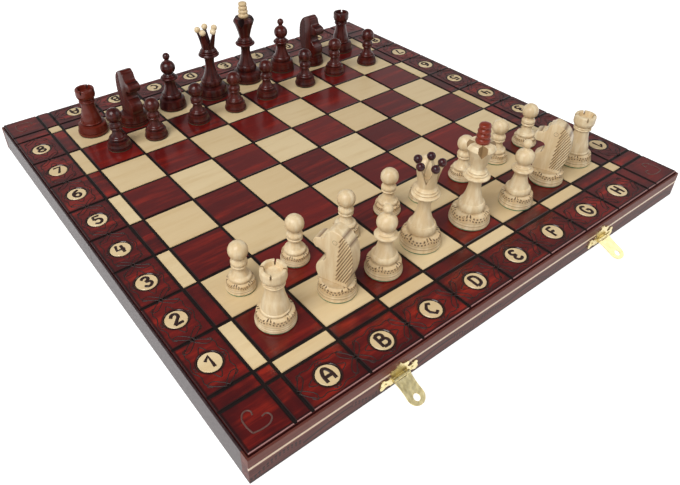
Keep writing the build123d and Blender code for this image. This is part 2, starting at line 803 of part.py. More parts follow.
def make_knight(name, stand, heading):
    plinth = foot_outline(
        knight_base_radius, knight_foot_height, knight_plinth_radius, knight_plinth_height)
    plinth += [(0, knight_plinth_height)]
    rise = knight_head_height - knight_plinth_height

    def at(forward, up):
        return (forward, knight_plinth_height + rise * up)

    forward = Vector(1, 0, 0).rotate(Axis.Z, heading)
    side_plane = Plane(origin=stand, x_dir=forward, z_dir=forward.cross(Vector(0, 0, 1)))
    with BuildPart() as head:
        with BuildSketch(side_plane):
            with BuildLine():
                low = knight_foot_height + step
                Polyline((-knight_back * 0.75, low), (knight_chest * 0.88, low),
                         at(knight_chest * 0.89, 0.05))
                ThreePointArc(at(knight_chest * 0.89, 0.05), at(knight_chest, 0.17),
                              at(knight_chest * 0.93, 0.28))
                Polyline(at(knight_chest * 0.93, 0.28), at(knight_chest * 0.42, 0.46),
                         at(knight_muzzle * 0.49, 0.575), at(knight_muzzle * 0.85, 0.585))
                ThreePointArc(at(knight_muzzle * 0.85, 0.585), at(knight_muzzle, 0.665),
                              at(knight_muzzle * 0.90, 0.76))
                Polyline(at(knight_muzzle * 0.90, 0.76), at(knight_muzzle * 0.46, 0.805),
                         at(knight_muzzle * 0.35, 0.945), at(0, 1))
                ThreePointArc(at(0, 1), at(-knight_back * 0.63, 0.89), at(-knight_back * 0.92, 0.73))
                ThreePointArc(at(-knight_back * 0.92, 0.73), at(-knight_back, 0.49),
                              at(-knight_back * 0.76, 0.12))
                Line(at(-knight_back * 0.76, 0.12), (-knight_back * 0.75, low))
            make_face()
        extrude(amount=knight_head_thickness / 2, both=True)
    with BuildPart() as wood:
        turn(stand, plinth)
        add(head.part)
    finish_man(name, stand, knight_base_radius, wood)


def court_outline(base_radius, foot_height, shoulder, bell_radius, neck, collar_radius,
                  collar_low, collar_height, crown_foot):
    """Base, bell, long neck and collar shared by queen and king, up to the crown's foot."""
    shoulder_radius, shoulder_height = shoulder
    neck_radius, neck_height = neck
    foot_radius, foot_top = crown_foot
    bell_low = shoulder_height + step
    collar_top = collar_low + collar_height
    outline = foot_outline(base_radius, foot_height, shoulder_radius, shoulder_height)
    outline += [(bell_radius, bell_low)]
    outline += ogee((bell_radius, bell_low), (neck_radius, neck_height))
    outline += [(neck_radius + step, collar_low)]
    outline += [
        (collar_radius - 2 * step, collar_low + step / 2),
        ((collar_radius, collar_low + collar_height * 0.48),
         (collar_radius - 3 * step, collar_top)),
        (foot_radius + 2 * step, collar_top + step / 2),
        (foot_radius + 2 * step, collar_top + 2 * step),
        (foot_radius, foot_top - step),
        (foot_radius, foot_top),
    ]
    return outline


def make_queen(name, stand):
    outline = court_outline(
        queen_base_radius, queen_foot_height, (queen_shoulder_radius, queen_shoulder_height),
        queen_bell_radius, (queen_neck_radius, queen_neck_height), queen_collar_radius,
        queen_collar_low, queen_collar_height, (queen_cup_foot_radius, queen_cup_foot_height))
    outline += [
        ((queen_cup_foot_radius + 0.38 * (queen_cup_radius - queen_cup_foot_radius),
          queen_cup_foot_height + 0.50 * (queen_cup_height - queen_cup_foot_height)),
         (queen_cup_radius, queen_cup_height)),
        (queen_cup_radius - queen_cup_wall, queen_cup_height),
        (queen_cup_foot_radius - queen_cup_wall, queen_cup_floor),
        (0, queen_cup_floor),
    ]
    ball_places = [(queen_ball_ring, 360 * k / queen_points) for k in range(queen_points)]
    ball_height = queen_cup_height + queen_ball_rise
    notch_rise = queen_cup_height + step - queen_notch_floor
    notch_half = notch_rise * tan(radians(queen_notch_half_angle))
    with BuildPart() as wood:
        turn(stand, outline)
        # V notches leave one leaning point under every ball
        for place in range(queen_points):
            angle = 360 * (place + 0.5) / queen_points
            outward = Vector(1, 0, 0).rotate(Axis.Z, angle)
            with BuildSketch(Plane(origin=stand, x_dir=Vector(0, 0, 1).cross(outward), z_dir=outward)):
                with BuildLine():
                    Polyline((0, queen_notch_floor),
                             (notch_half, queen_cup_height + step),
                             (-notch_half, queen_cup_height + step), close=True)
                make_face()
            extrude(amount=queen_cup_radius + step, mode=Mode.SUBTRACT)
        with Locations(Location(stand)):
            with Locations(*[Location(Vector(ring, 0, ball_height).rotate(Axis.Z, turn_by))
                             for ring, turn_by in ball_places]):
                Sphere(queen_ball_radius + fit, mode=Mode.SUBTRACT)
    with BuildPart() as balls:
        with Locations(Location(stand)):
            with Locations(*[Location(Vector(ring, 0, ball_height).rotate(Axis.Z, turn_by))
                             for ring, turn_by in ball_places]):
                Sphere(queen_ball_radius)
    finish_man(name, stand, queen_base_radius, wood, balls)


def finial_outline(low):
    """Stacked rings that narrow a little upwards, with a domed top."""
    pitch = (finial_height - finial_top_radius * 0.7) / finial_rings
    outline = [(0, low), (finial_radius - step, low)]
    for k in range(finial_rings):
        radius = finial_radius + (finial_top_radius - finial_radius) * k / (finial_rings - 1)
        root = radius - finial_ring_depth
        bottom = low + k * pitch
        outline += [(root, bottom + step / 2)] if k else []
        outline += [((radius, bottom + pitch * 0.5), (root, bottom + pitch - step / 2))]
    return outline + cap_outline(
        finial_top_radius - finial_ring_depth, low + finial_rings * pitch - step / 2, low + finial_height)


def make_king(name, stand):
    table = king_crown_height + king_crown_lip
    outline = court_outline(
        king_base_radius, king_foot_height, (king_shoulder_radius, king_shoulder_height),
        king_bell_radius, (king_neck_radius, king_neck_height), king_collar_radius,
        king_collar_low, king_collar_height, (king_crown_foot_radius, king_crown_foot_height))
    rise = king_crown_height - king_crown_foot_height
    outline += [
        ((king_crown_foot_radius + 0.40 * (king_crown_radius - king_crown_foot_radius),
          king_crown_foot_height + 0.50 * rise), (king_crown_radius, king_crown_height)),
        (king_table_radius, table),
        (0, table),
    ]
    with BuildPart() as wood:
        turn(stand, outline)
        # each notch falls outwards from the flat top and opens into the flared side
        for place in range(king_notches):
            outward = Vector(1, 0, 0).rotate(Axis.Z, 360 * place / king_notches + 45)
            inner = Vector(*stand) + outward * king_notch_reach + Vector(0, 0, table)
            outer = (Vector(*stand) + outward * king_crown_radius
                     + Vector(0, 0, king_crown_height - king_notch_depth))
            across = Vector(0, 0, 1).cross(outward)
            with BuildSketch(Plane(origin=inner, x_dir=across, z_dir=outer - inner)):
                with BuildLine():
                    Polyline((0, 0), (3 * king_notch_half_width, 3 * king_notch_depth),
                             (-3 * king_notch_half_width, 3 * king_notch_depth), close=True)
                make_face()
            extrude(amount=3 * king_crown_radius, mode=Mode.SUBTRACT)
        with Locations(Location(Vector(*stand) + Vector(0, 0, table))):
            Hole(spigot_radius + fit, spigot_length + fit)
    with BuildPart() as finial:
        turn(stand, finial_outline(table))
        with Locations(Location(Vector(*stand) + Vector(0, 0, table))):
            Cylinder(spigot_radius, spigot_length, align=(Align.CENTER, Align.CENTER, Align.MAX))
    finish_man(name, stand, king_base_radius, wood, finial)


def finish_man(name, stand, base_radius, *turned):
    """Put a man's wood, its felt and anything set into it together, as separate solids."""
    pieces = (*turned, felt_pad(stand, base_radius))
    solids = [solid for piece in pieces for solid in piece.part.solids()]
    man = Compound(children=solids)
    man.label = name
    export_step(man, f"parts/{name}.step")


# ---------------------------------------------------------------- the two halves
for half_name, side in (("front", front), ("rear", rear)):
    rail_screws = latch_screws if side == front else keeper_screws
    make_panel(f"{half_name}_panel", side)
    make_tiles(f"{half_name}_pale_tiles", side, pale=True)
    make_tiles(f"{half_name}_dark_tiles", side, pale=False)
    make_long_rail(f"{half_name}_long_rail", side, rail_screws)
    make_stripe(f"{half_name}_edge_stripe", side, rail_screws)
    make_end_rails(f"{half_name}_end_rails", side)
    make_hinge_rail(f"{half_name}_hinge_rail", side)
    make_dividers(f"{half_name}_dividers", side)
    make_lining(f"{half_name}_felt_lining", side)
    make_hinge_leaves(f"{half_name}_hinge_leaves", side)
    make_screws(f"{half_name}_screws", side, rail_screws,
                plate_thickness if side == front else keeper_thickness)

make_hinge_pins("hinge_pins")
make_latch_plates("latch_plates")
make_latch_pins("latch_pins")
make_keepers("latch_keepers")
make_hasp("left_hasp", -latch_x)
make_hasp("right_hasp", latch_x)

# ---------------------------------------------------------------- the men
for man, (shift_x, shift_y) in stands_off.items():
    colour, kind, cell = man.split("_")
    file_index = "abcdefgh".index(cell[0])
    rank_index = int(cell[1]) - 1
    stand = ((file_index + 0.5 - files / 2) * square + shift_x,
             (rank_index + 0.5 - ranks_per_half) * square + shift_y, board_top)
    if kind == "pawn":
        make_pawn(man, stand)
    elif kind == "rook":
        make_rook(man, stand)
    elif kind == "bishop":
        make_bishop(man, stand)
    elif kind == "knight":
        make_knight(man, stand, knight_turn_white if colour == "white" else knight_turn_black)
    elif kind == "queen":
        make_queen(man, stand)
    else:
        make_king(man, stand)

print("hasp rest angle", round(hasp_rest_angle, 2), "degrees; axis at",
      round(-half_depth - latch_axis_out, 2), latch_axis_height)
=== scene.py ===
"""Looks of the folding chess box and its men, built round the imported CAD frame."""
import math

import bpy
from mathutils import Matrix, Vector


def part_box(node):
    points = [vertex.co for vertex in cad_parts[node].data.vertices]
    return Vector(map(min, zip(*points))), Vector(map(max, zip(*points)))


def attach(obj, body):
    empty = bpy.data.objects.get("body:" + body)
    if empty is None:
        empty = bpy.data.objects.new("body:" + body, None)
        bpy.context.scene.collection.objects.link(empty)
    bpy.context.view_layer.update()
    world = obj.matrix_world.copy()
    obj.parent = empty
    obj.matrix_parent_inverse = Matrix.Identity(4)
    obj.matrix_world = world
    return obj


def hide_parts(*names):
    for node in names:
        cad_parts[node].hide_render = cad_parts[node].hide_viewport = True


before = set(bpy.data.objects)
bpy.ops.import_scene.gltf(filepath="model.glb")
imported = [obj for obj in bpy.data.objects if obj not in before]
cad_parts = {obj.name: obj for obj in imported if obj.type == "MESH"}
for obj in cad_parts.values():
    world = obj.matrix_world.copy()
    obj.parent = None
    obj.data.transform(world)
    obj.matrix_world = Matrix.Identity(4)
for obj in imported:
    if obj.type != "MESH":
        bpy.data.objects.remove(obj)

bl_info = {
    "name": "Chess box looks",
    "version": (1, 0, 0),
    "blender": (4, 5, 0),
    "location": "View3D > Sidebar > Chess box",
    "description": "Turned men, burnt ornament, woods and brass of a folding chess box",
    "category": "Object",
}

MM = 0.001                    # all sizes and places below are in millimetres
SQUARE = 53.5
HALF_FIELD = 4 * SQUARE
STRIP = 15.0                  # width of the strip round the squares
BAND_MIDDLE = 249.5           # middle line of the outer band, from the board's middle
BOARD_TOP = 30.0
GROOVE_BOTTOM = 29.0
EDGE_HIGHLIGHT_START = 266.8             # where the painted highlight along the board's rounded long edge starts
LONG_SIDE = 262.0             # past this, a rail belongs to a long side
DISC_REACH = 14.0             # a burnt ring ends this far from its disc's middle
BURNT = (0.010, 0.003, 0.003)

FELT = 1.0                    # thickness of the men's felts
FOOT_ROUND = 2.4
STEP = 0.8                    # a small step of a turned outline
DARK_RINGS = ((-0.355, 0.55), (0.03, 0.30), (1.06, 0.40))   # (belt height, darkness); the first is painted shade in the foot's groove, the others dark lines at the foot's top and under the swell
MEN = {                       # radius of the base, tops of foot and shoulder
    "pawn": dict(base=13.2, foot=5.6, shoulder=(9.8, 10.5)),
    "rook": dict(base=17.0, foot=7.0, shoulder=(12.8, 13.0)),
    "bishop": dict(base=16.6, foot=7.0, shoulder=(12.6, 13.4)),
    "knight": dict(base=17.0, foot=7.0, shoulder=(13.6, 13.6)),
    "queen": dict(base=19.0, foot=7.5, shoulder=(13.6, 14.5)),
    "king": dict(base=19.3, foot=7.5, shoulder=(13.6, 14.5)),
}
KNIGHTS = {                   # where each knight stands, and its heading from +X
    "white_knight_b1": (-126.75, -186.25, 112.0),
    "white_knight_g1": (146.75, -192.25, 112.0),
    "black_knight_b8": (-139.75, 181.25, 273.0),
    "black_knight_g8": (127.75, 183.25, 273.0),
}
QUEEN_TURN = 36.0             # a gap of the white queen's crown faces the camera
ORANGE_ROOK = "black_rook_a8"  # far lighter than the other dark men
CROWN_CUTS = {                # (out, up) at both ends of a cut's bottom, first cut, pitch
    "queen": ((0.0, 68.0), (12.0, 68.0), 36.0, 72.0),
    "king": ((5.6, 85.5), (13.0, 70.5), 45.0, 90.0),
}
NOTCH_SHADE = {"king": 0.95, "queen": 0.40, "rook": 0.6}    # darkness of the painted shade on faces cut by the crowns' notches and the rooks' slits
NOTCH_HALF_ANGLE = 19.0       # of the queen's cuts
QUEEN_RIM = 84.2
BALL = dict(radius=3.8, out=10.7, up=86.0)
KING_TOP = 85.5
FINIAL_HEIGHT = 19.5
FINIAL_RIBS = 4
FINIAL_PITCH = 4.7
HEAD_THICKNESS = 14.0         # of the knights
MANE_SLOPE = 64.0             # degrees from level, of the carved lines
MANE_PITCH = 1.95
MANE_LINES = 13
MANE_START = -2.0             # the first line's distance from the knight's middle
MANE_LOW = 17.5               # where the lines start
MANE_LENGTH = 44.0
MANE_GROOVE = 1.2             # side of the square bar that cuts a line
EYE = (-0.6, 56.6)            # forward and up

# The camera was solved from the board's grid in the photograph
PHOTO_SIZE = (680, 485)       # in pixels
PHOTO_MIDDLE = (308.3, 198.0)  # pixel on the lens's axis
CAMERA_PLACE = (-375.15, -478.45, 409.80)
CAMERA_RIGHT = (0.7969279, -0.60403513, -0.00689152)
CAMERA_UP = (0.3644124, 0.47162267, 0.80297924)
CAMERA_BACK = (-0.48177747, -0.64242791, 0.59596715)
FLOOR_LEVEL = -1.6            # just under the hinge barrels
FLOOR_SIZE = 24000.0
LAMPS = {"key": ((-1300.0, -500.0, 1700.0), 1300.0),    # place and size
         "fill": ((1400.0, -1000.0, 1300.0), 1200.0)}

# Strokes of the signs, in a box one unit high: (smooth?, points)
SIGNS = {
    "1": [(False, [(-0.26, 0.16), (0.10, 0.48), (0.10, -0.50)])],
    "2": [(True, [(-0.28, 0.24), (-0.04, 0.50), (0.24, 0.26), (0.02, -0.10), (-0.30, -0.46)]),
          (False, [(-0.30, -0.46), (0.32, -0.44)])],
    "3": [(True, [(-0.28, 0.36), (0.04, 0.50), (0.24, 0.26), (-0.06, 0.04)]),
          (True, [(-0.06, 0.04), (0.30, -0.18), (0.04, -0.50), (-0.30, -0.34)])],
    "4": [(False, [(-0.20, 0.50), (-0.30, -0.08), (0.32, -0.08)]),
          (False, [(0.16, 0.36), (0.16, -0.50)])],
    "5": [(False, [(0.28, 0.50), (-0.20, 0.50), (-0.24, 0.06)]),
          (True, [(-0.24, 0.06), (0.10, 0.12), (0.30, -0.18), (0.04, -0.50), (-0.30, -0.36)])],
    "6": [(True, [(0.24, 0.48), (-0.14, 0.26), (-0.28, -0.16), (0.00, -0.50), (0.28, -0.20),
                  (0.02, 0.08), (-0.24, -0.12)])],
    "7": [(False, [(-0.30, 0.46), (0.30, 0.46), (-0.06, -0.50)])],
    "8": [(True, [(0.00, 0.02), (-0.24, 0.26), (0.00, 0.50), (0.24, 0.26), (0.00, 0.02),
                  (-0.30, -0.25), (0.00, -0.50), (0.30, -0.25), (0.00, 0.02)])],
    "A": [(True, [(-0.32, -0.50), (-0.26, 0.18), (0.00, 0.50), (0.26, 0.18), (0.32, -0.50)]),
          (False, [(-0.28, -0.10), (0.28, -0.10)])],
    "B": [(False, [(-0.26, 0.50), (-0.26, -0.50)]),
          (True, [(-0.26, 0.48), (0.14, 0.46), (0.18, 0.12), (-0.18, 0.02)]),
          (True, [(-0.18, 0.02), (0.28, -0.04), (0.26, -0.44), (-0.26, -0.50)])],
    "C": [(False, [(0.26, 0.38), (0.02, 0.50), (-0.28, 0.18), (-0.28, -0.18), (0.02, -0.50),
                   (0.26, -0.38)])],
    "D": [(False, [(-0.26, 0.50), (-0.26, -0.50)]),
          (True, [(-0.26, 0.50), (0.18, 0.36), (0.30, 0.00), (0.18, -0.36), (-0.26, -0.50)])],
    "E": [(True, [(0.25, 0.42), (-0.10, 0.50), (-0.24, 0.24), (0.04, 0.02)]),
          (True, [(0.04, 0.02), (-0.28, -0.20), (-0.08, -0.50), (0.28, -0.40)])],
    "F": [(False, [(0.28, 0.46), (-0.18, 0.46), (-0.20, -0.50)]),
          (False, [(-0.20, 0.02), (0.18, 0.02)])],
    "G": [(True, [(0.26, 0.38), (-0.04, 0.50), (-0.30, 0.02), (-0.02, -0.50), (0.28, -0.28),
                  (0.28, -0.04)]),
          (False, [(0.28, -0.02), (0.02, -0.02)])],
    "H": [(False, [(-0.26, 0.50), (-0.26, -0.50)]), (False, [(0.26, 0.50), (0.26, -0.50)]),
          (False, [(-0.26, 0.00), (0.26, 0.00)])],
}


# ---------------------------------------------------------------- settings
def colour_property(name, description, default):
    return bpy.props.FloatVectorProperty(name=name, description=description, subtype="COLOR",
                                         size=3, min=0.0, max=1.0, default=default)


class ChessBoxWoodSettings(bpy.types.PropertyGroup):
    red_low: colour_property(
        "Red stain, dark", "Stain of the darkest red tiles", (0.082, 0.004, 0.004))
    red_high: colour_property(
        "Red stain, light", "Stain of the lightest red tiles", (0.150, 0.008, 0.006))
    red_streak: colour_property(
        "Red streaks", "Bright streaks in the red tiles", (0.38, 0.022, 0.008))
    inlay_low: colour_property(
        "Pale inlay, dark", "Wood of the darkest pale tiles", (0.68, 0.51, 0.28))
    inlay_high: colour_property(
        "Pale inlay, light", "Wood of the lightest pale tiles", (0.76, 0.60, 0.35))
    long_rail_low: colour_property(
        "Long rails, dark", "Dark streaks of the long rails", (0.085, 0.022, 0.018))
    long_rail_high: colour_property(
        "Long rails, light", "Light streaks of the long rails", (0.17, 0.050, 0.038))
    # The end rails' greyer, darker colour is painted shade and painted grey reflection on the
    # same wood as the long rails.
    end_rail_shade_low: colour_property(
        "End rails in painted shade, dark", "Dark streaks of the end rails in painted shade", (0.040, 0.026, 0.028))
    end_rail_shade_high: colour_property(
        "End rails in painted shade, light", "Light streaks of the end rails in painted shade", (0.070, 0.050, 0.052))
    brass_low: colour_property(
        "Brass, dark", "Dull parts of the plating", (0.60, 0.48, 0.20))
    brass_high: colour_property(
        "Brass, light", "Bright parts of the plating", (0.90, 0.80, 0.48))


class ChessBoxMenSettings(bpy.types.PropertyGroup):
    pale_low: colour_property(
        "White's wood, dark", "Dark streaks of White's men", (0.70, 0.53, 0.31))
    pale_high: colour_property(
        "White's wood, light", "Light streaks of White's men", (0.84, 0.71, 0.48))
    dark_low: colour_property(
        "Black's wood, dark", "Dark streaks of Black's men", (0.026, 0.003, 0.003))
    dark_high: colour_property(
        "Black's wood, light", "Light streaks of Black's men", (0.070, 0.007, 0.004))
    white_felt: colour_property(
        "White's felt", "Raised fibres of the felt under White's men", (0.05, 0.22, 0.10))
    black_felt: colour_property(
        "Black's felt", "Raised fibres of the felt under Black's men", (0.06, 0.06, 0.02))
    steps: bpy.props.IntProperty(
        name="Turning steps", description="Sides of every turned piece", default=56, min=12)
    groove: bpy.props.FloatProperty(
        name="Turned groove", description="Depth of the lines cut on the lathe",
        default=0.0009, unit="LENGTH")
    head_round: bpy.props.FloatProperty(
        name="Knight's rounding", description="Rounding of the edges of a knight's head",
        default=0.0010, unit="LENGTH")


class ChessBoxOrnamentSettings(bpy.types.PropertyGroup):
    line: bpy.props.FloatProperty(
        name="Scroll line", description="Radius of the burnt scroll lines", default=0.00048,
        unit="LENGTH")
    sign_line: bpy.props.FloatProperty(
        name="Sign line", description="Radius of the strokes of letters and digits",
        default=0.0021, unit="LENGTH")
    sign_height: bpy.props.FloatProperty(
        name="Sign height", description="Height of letters and digits", default=0.0120,
        unit="LENGTH")


class ChessBoxStageSettings(bpy.types.PropertyGroup):
    key_power: bpy.props.FloatProperty(
        name="Key lamp", description="Power of the large lamp at the left, in watts",
        default=42.0, min=0.0)
    fill_power: bpy.props.FloatProperty(
        name="Fill lamp", description="Power of the lamp at the right, in watts", default=8.0,
        min=0.0)
    lens: bpy.props.FloatProperty(
        name="Lens", description="Focal length of the photograph's camera, in millimetres",
        default=33.742, min=1.0)


# ---------------------------------------------------------------- shader building
class Shader:
    """A material or a world whose nodes are added one call at a time."""

    def __init__(self, name, is_world=False):
        self.owner = (bpy.data.worlds if is_world else bpy.data.materials).new(name)
        self.owner.use_nodes = True
        self.tree = self.owner.node_tree
        self.tree.nodes.clear()

    def node(self, kind, **settings):
        new = self.tree.nodes.new(kind)
        for key, value in settings.items():
            setattr(new, key, value)
        return new

    def feed(self, socket, value):
        if isinstance(value, bpy.types.NodeSocket):
            self.tree.links.new(value, socket)
        elif socket.type == "RGBA" and not isinstance(value, (int, float)):
            socket.default_value = (*value, 1.0)
        else:
            socket.default_value = value

    def math(self, operation, *values):
        new = self.node("ShaderNodeMath", operation=operation)
        for socket, value in zip(new.inputs, (*values, 0.0, 0.0)):
            self.feed(socket, value)
        return new.outputs[0]

    def times(self, first, second):
        return self.math("MULTIPLY", first, second)

    def times_plus(self, value, factor, more):
        return self.math("MULTIPLY_ADD", value, factor, more)

    def minus(self, first, second):
        return self.math("SUBTRACT", first, second)

    def absolute(self, value):
        return self.math("ABSOLUTE", value)

    def larger(self, first, second):
        return self.math("MAXIMUM", first, second)

    def above(self, value, limit):
        return self.math("GREATER_THAN", value, limit)

    def below(self, value, limit):
        return self.math("LESS_THAN", value, limit)

    def distance(self, aside, up):
        return self.math("SQRT", self.math("ADD", self.math("POWER", aside, 2.0),
                                           self.math("POWER", up, 2.0)))

    def mix(self, share, first, second):
        new = self.node("ShaderNodeMix", data_type="RGBA", clamp_factor=True)
        self.feed(new.inputs["Factor"], share)
        self.feed(new.inputs[6], first)
        self.feed(new.inputs[7], second)
        return new.outputs[2]

    def tint(self, colour, mask, amount, pigment):
        """The colour with an amount of pigment where the mask is 1."""
        return self.mix(self.times(mask, amount), colour, pigment)

    def step(self, value, low, high):
        """0 below low, 1 above high and smooth between (low may be the larger)."""
        new = self.node("ShaderNodeMapRange", interpolation_type="SMOOTHSTEP", clamp=True)
        for key, given in (("Value", value), ("From Min", low), ("From Max", high)):
            self.feed(new.inputs[key], given)
        return new.outputs["Result"]

    def near(self, value, target, far, close):
        """1 where a value lies close to a target, 0 where it lies far off."""
        return self.step(self.absolute(self.minus(value, target)), far, close)

    def place(self):
        """Object coordinates in millimetres, as three sockets."""
        source = self.node("ShaderNodeTexCoord").outputs["Object"]
        scaled = self.node("ShaderNodeVectorMath", operation="SCALE")
        self.feed(scaled.inputs[0], source)
        scaled.inputs["Scale"].default_value = 1 / MM
        return self.split(scaled.outputs["Vector"])

    def split(self, vector):
        new = self.node("ShaderNodeSeparateXYZ")
        self.feed(new.inputs[0], vector)
        return new.outputs[0], new.outputs[1], new.outputs[2]

    def join(self, x, y, z=0.0):
        new = self.node("ShaderNodeCombineXYZ")
        for socket, value in zip(new.inputs, (x, y, z)):
            self.feed(socket, value)
        return new.outputs[0]

    def attribute(self, name, output="Fac"):
        return self.node("ShaderNodeAttribute", attribute_name=name).outputs[output]

    def noise(self, vector, scale=1.0, detail=3.0, roughness=0.55):
        new = self.node("ShaderNodeTexNoise")
        self.feed(new.inputs["Vector"], vector)
        new.inputs["Scale"].default_value = scale
        new.inputs["Detail"].default_value = detail
        new.inputs["Roughness"].default_value = roughness
        return new.outputs[0]

    def grain(self, x, y, z, along, across, offset=0.0):
        """Streaks that run along X, from 0 to 1."""
        stretched = self.join(self.times_plus(x, along, offset), self.times(y, across),
                              self.times_plus(z, across, offset))
        return self.noise(stretched, detail=5.0, roughness=0.62)

    def cell_luck(self, x, y, layer=0.0):
        """A number from 0 to 1 for each square of the board."""
        column, row = (self.math("FLOOR", self.math("DIVIDE", value, SQUARE)) for value in (x, y))
        new = self.node("ShaderNodeTexWhiteNoise", noise_dimensions="3D")
        self.feed(new.inputs["Vector"], self.join(column, row, layer))
        return new.outputs["Value"]

    def bump(self, height, distance, strength):
        new = self.node("ShaderNodeBump")
        self.feed(new.inputs["Height"], height)
        new.inputs["Distance"].default_value = distance
        new.inputs["Strength"].default_value = strength
        return new.outputs["Normal"]

    def groove_distance(self, x, y):
        """Millimetres to the nearest groove of the board."""
        nearest = None
        for value in (x, y):
            outer = self.absolute(self.minus(self.absolute(value), HALF_FIELD + STRIP))
            here = self.math("MINIMUM", self.math("PINGPONG", value, SQUARE / 2), outer)
            nearest = here if nearest is None else self.math("MINIMUM", nearest, here)
        return nearest

    def disc_rings(self, x, y, low, high):
        """0 at one distance from the middles of the bands' discs, 1 at another and past it."""
        rings = None
        for along, across in ((x, y), (y, x)):
            off = self.minus(SQUARE / 2, self.math("PINGPONG", along, SQUARE / 2))
            away = self.distance(off, self.minus(self.absolute(across), BAND_MIDDLE))
            inside = self.times(self.below(self.absolute(along), HALF_FIELD),
                                self.below(away, DISC_REACH))
            ring = self.times(self.step(away, low, high), inside)
            rings = ring if rings is None else self.larger(rings, ring)
        return rings

    def finish(self, colour, roughness, normal=None, **others):
        surface = self.node("ShaderNodeBsdfPrincipled")
        self.feed(surface.inputs["Base Color"], colour)
        self.feed(surface.inputs["Roughness"], roughness)
        if normal is not None:
            self.feed(surface.inputs["Normal"], normal)
        for key, value in others.items():
            self.feed(surface.inputs[key.replace("_", " ")], value)
        out = self.node("ShaderNodeOutputMaterial")
        self.feed(out.inputs["Surface"], surface.outputs[0])
        return self.owner


# ---------------------------------------------------------------- materials
def red_tiles(low, high, bright):
    """Stained tiles, with smoked edges on the outer band, a burnt ring round each disc and a
    painted highlight along the board's long edges.
    """
    shader = Shader("red stained inlay")
    x, y, z = shader.place()
    luck = shader.cell_luck(x, y)
    offset = shader.times(luck, 37.0)
    streak = shader.grain(x, y, z, along=0.012, across=0.10, offset=offset)
    fine = shader.grain(x, y, z, along=0.04, across=1.3, offset=offset)
    band = shader.above(shader.larger(shader.absolute(x), shader.absolute(y)), HALF_FIELD)
    deep = shader.mix(luck, low, high)
    share = shader.times(shader.step(streak, 0.45, 0.74), shader.times_plus(band, 0.35, 0.45))
    colour = shader.mix(share, deep, bright)
    colour = shader.tint(colour, shader.step(fine, 0.48, 0.72), 0.32, (0.045, 0.004, 0.005))
    groove = shader.groove_distance(x, y)
    cloud = shader.noise(shader.join(x, y, z), scale=0.045, detail=2.0)
    smoke = shader.times(shader.times(shader.step(groove, 15.0, 1.0), band),
                         shader.step(cloud, 0.34, 0.64))
    colour = shader.tint(colour, smoke, 0.68, (0.030, 0.003, 0.004))
    colour = shader.tint(colour, shader.step(groove, 2.6, 1.4), 0.85, BURNT)
    colour = shader.tint(colour, shader.disc_rings(x, y, 12.6, 10.8), 0.9, BURNT)
    # painted highlight: a pink line along the rounded long edges of the board
    painted_edge_highlight = shader.step(shader.absolute(y), EDGE_HIGHLIGHT_START, EDGE_HIGHLIGHT_START + 0.3)
    colour = shader.tint(colour, painted_edge_highlight, 0.65, (0.52, 0.27, 0.25))
    return shader.finish(colour, 0.40, shader.bump(fine, 0.00008, 0.2), Coat_Weight=0.7,
                         Coat_Roughness=0.14, Specular_IOR_Level=0.15)


def pale_tiles(low, high):
    """Clear lacquered tiles and discs, toasted at the grooves and round the discs."""
    shader = Shader("pale inlay")
    x, y, z = shader.place()
    luck = shader.cell_luck(x, y, layer=3.0)
    offset = shader.times(luck, 23.0)
    streak = shader.grain(x, y, z, along=0.012, across=0.09, offset=offset)
    fine = shader.grain(x, y, z, along=0.04, across=1.2, offset=offset)
    colour = shader.mix(luck, low, high)
    colour = shader.tint(colour, shader.step(streak, 0.42, 0.75), 0.5, (0.60, 0.42, 0.20))
    colour = shader.tint(colour, shader.step(fine, 0.55, 0.75), 0.12, (0.45, 0.30, 0.14))
    toast = shader.step(shader.groove_distance(x, y), 2.4, 1.4)
    colour = shader.tint(colour, toast, 0.35, (0.42, 0.27, 0.12))
    colour = shader.tint(colour, shader.disc_rings(x, y, 9.7, 10.3), 0.95, (0.020, 0.008, 0.006))
    return shader.finish(colour, 0.38, shader.bump(fine, 0.0001, 0.25), Coat_Weight=0.3,
                         Coat_Roughness=0.2)


def panel_wood():
    """Burnt on top, where it shows in the grooves, and stained at its edges."""
    shader = Shader("burnt grooves and stained edge")
    x, y, z = shader.place()
    cloud = shader.noise(shader.join(x, y, z), scale=0.25)
    burnt = shader.mix(cloud, (0.004, 0.003, 0.003), (0.014, 0.008, 0.007))
    edge = shader.mix(cloud, (0.035, 0.005, 0.005), (0.09, 0.010, 0.008))
    colour = shader.mix(shader.step(z, GROOVE_BOTTOM, GROOVE_BOTTOM + 0.15), edge, burnt)
    return shader.finish(colour, 0.5, Coat_Weight=0.15, Coat_Roughness=0.3,
                         Specular_IOR_Level=0.2)


def rail_marks(shader, x, y, z):
    """Arches of burnt dots that take turns with a leaf line, under the long sides' stripe."""
    arch = shader.math("SINE", shader.times(shader.math("PINGPONG", x, SQUARE / 2),
                                            math.pi / SQUARE))
    along = shader.math("PINGPONG", x, 1.7)
    up = shader.minus(z, shader.times_plus(arch, 8.0, 4.0))
    dots = shader.larger(shader.below(shader.distance(along, up), 1.14),
                         shader.below(shader.distance(along, shader.math("ADD", up, 2.6)), 0.894))
    wave = shader.math("SINE", shader.times(x, math.pi / SQUARE))
    leaf = shader.near(z, shader.times_plus(wave, 3.0, 7.0), 1.2, 0.6)
    turn = shader.times_plus(x, math.pi / SQUARE, 0.9 + math.pi)
    dotted = shader.above(shader.math("SINE", turn), -0.25)
    return shader.larger(shader.times(dots, dotted),
                         shader.times(leaf, shader.minus(1.0, dotted)))


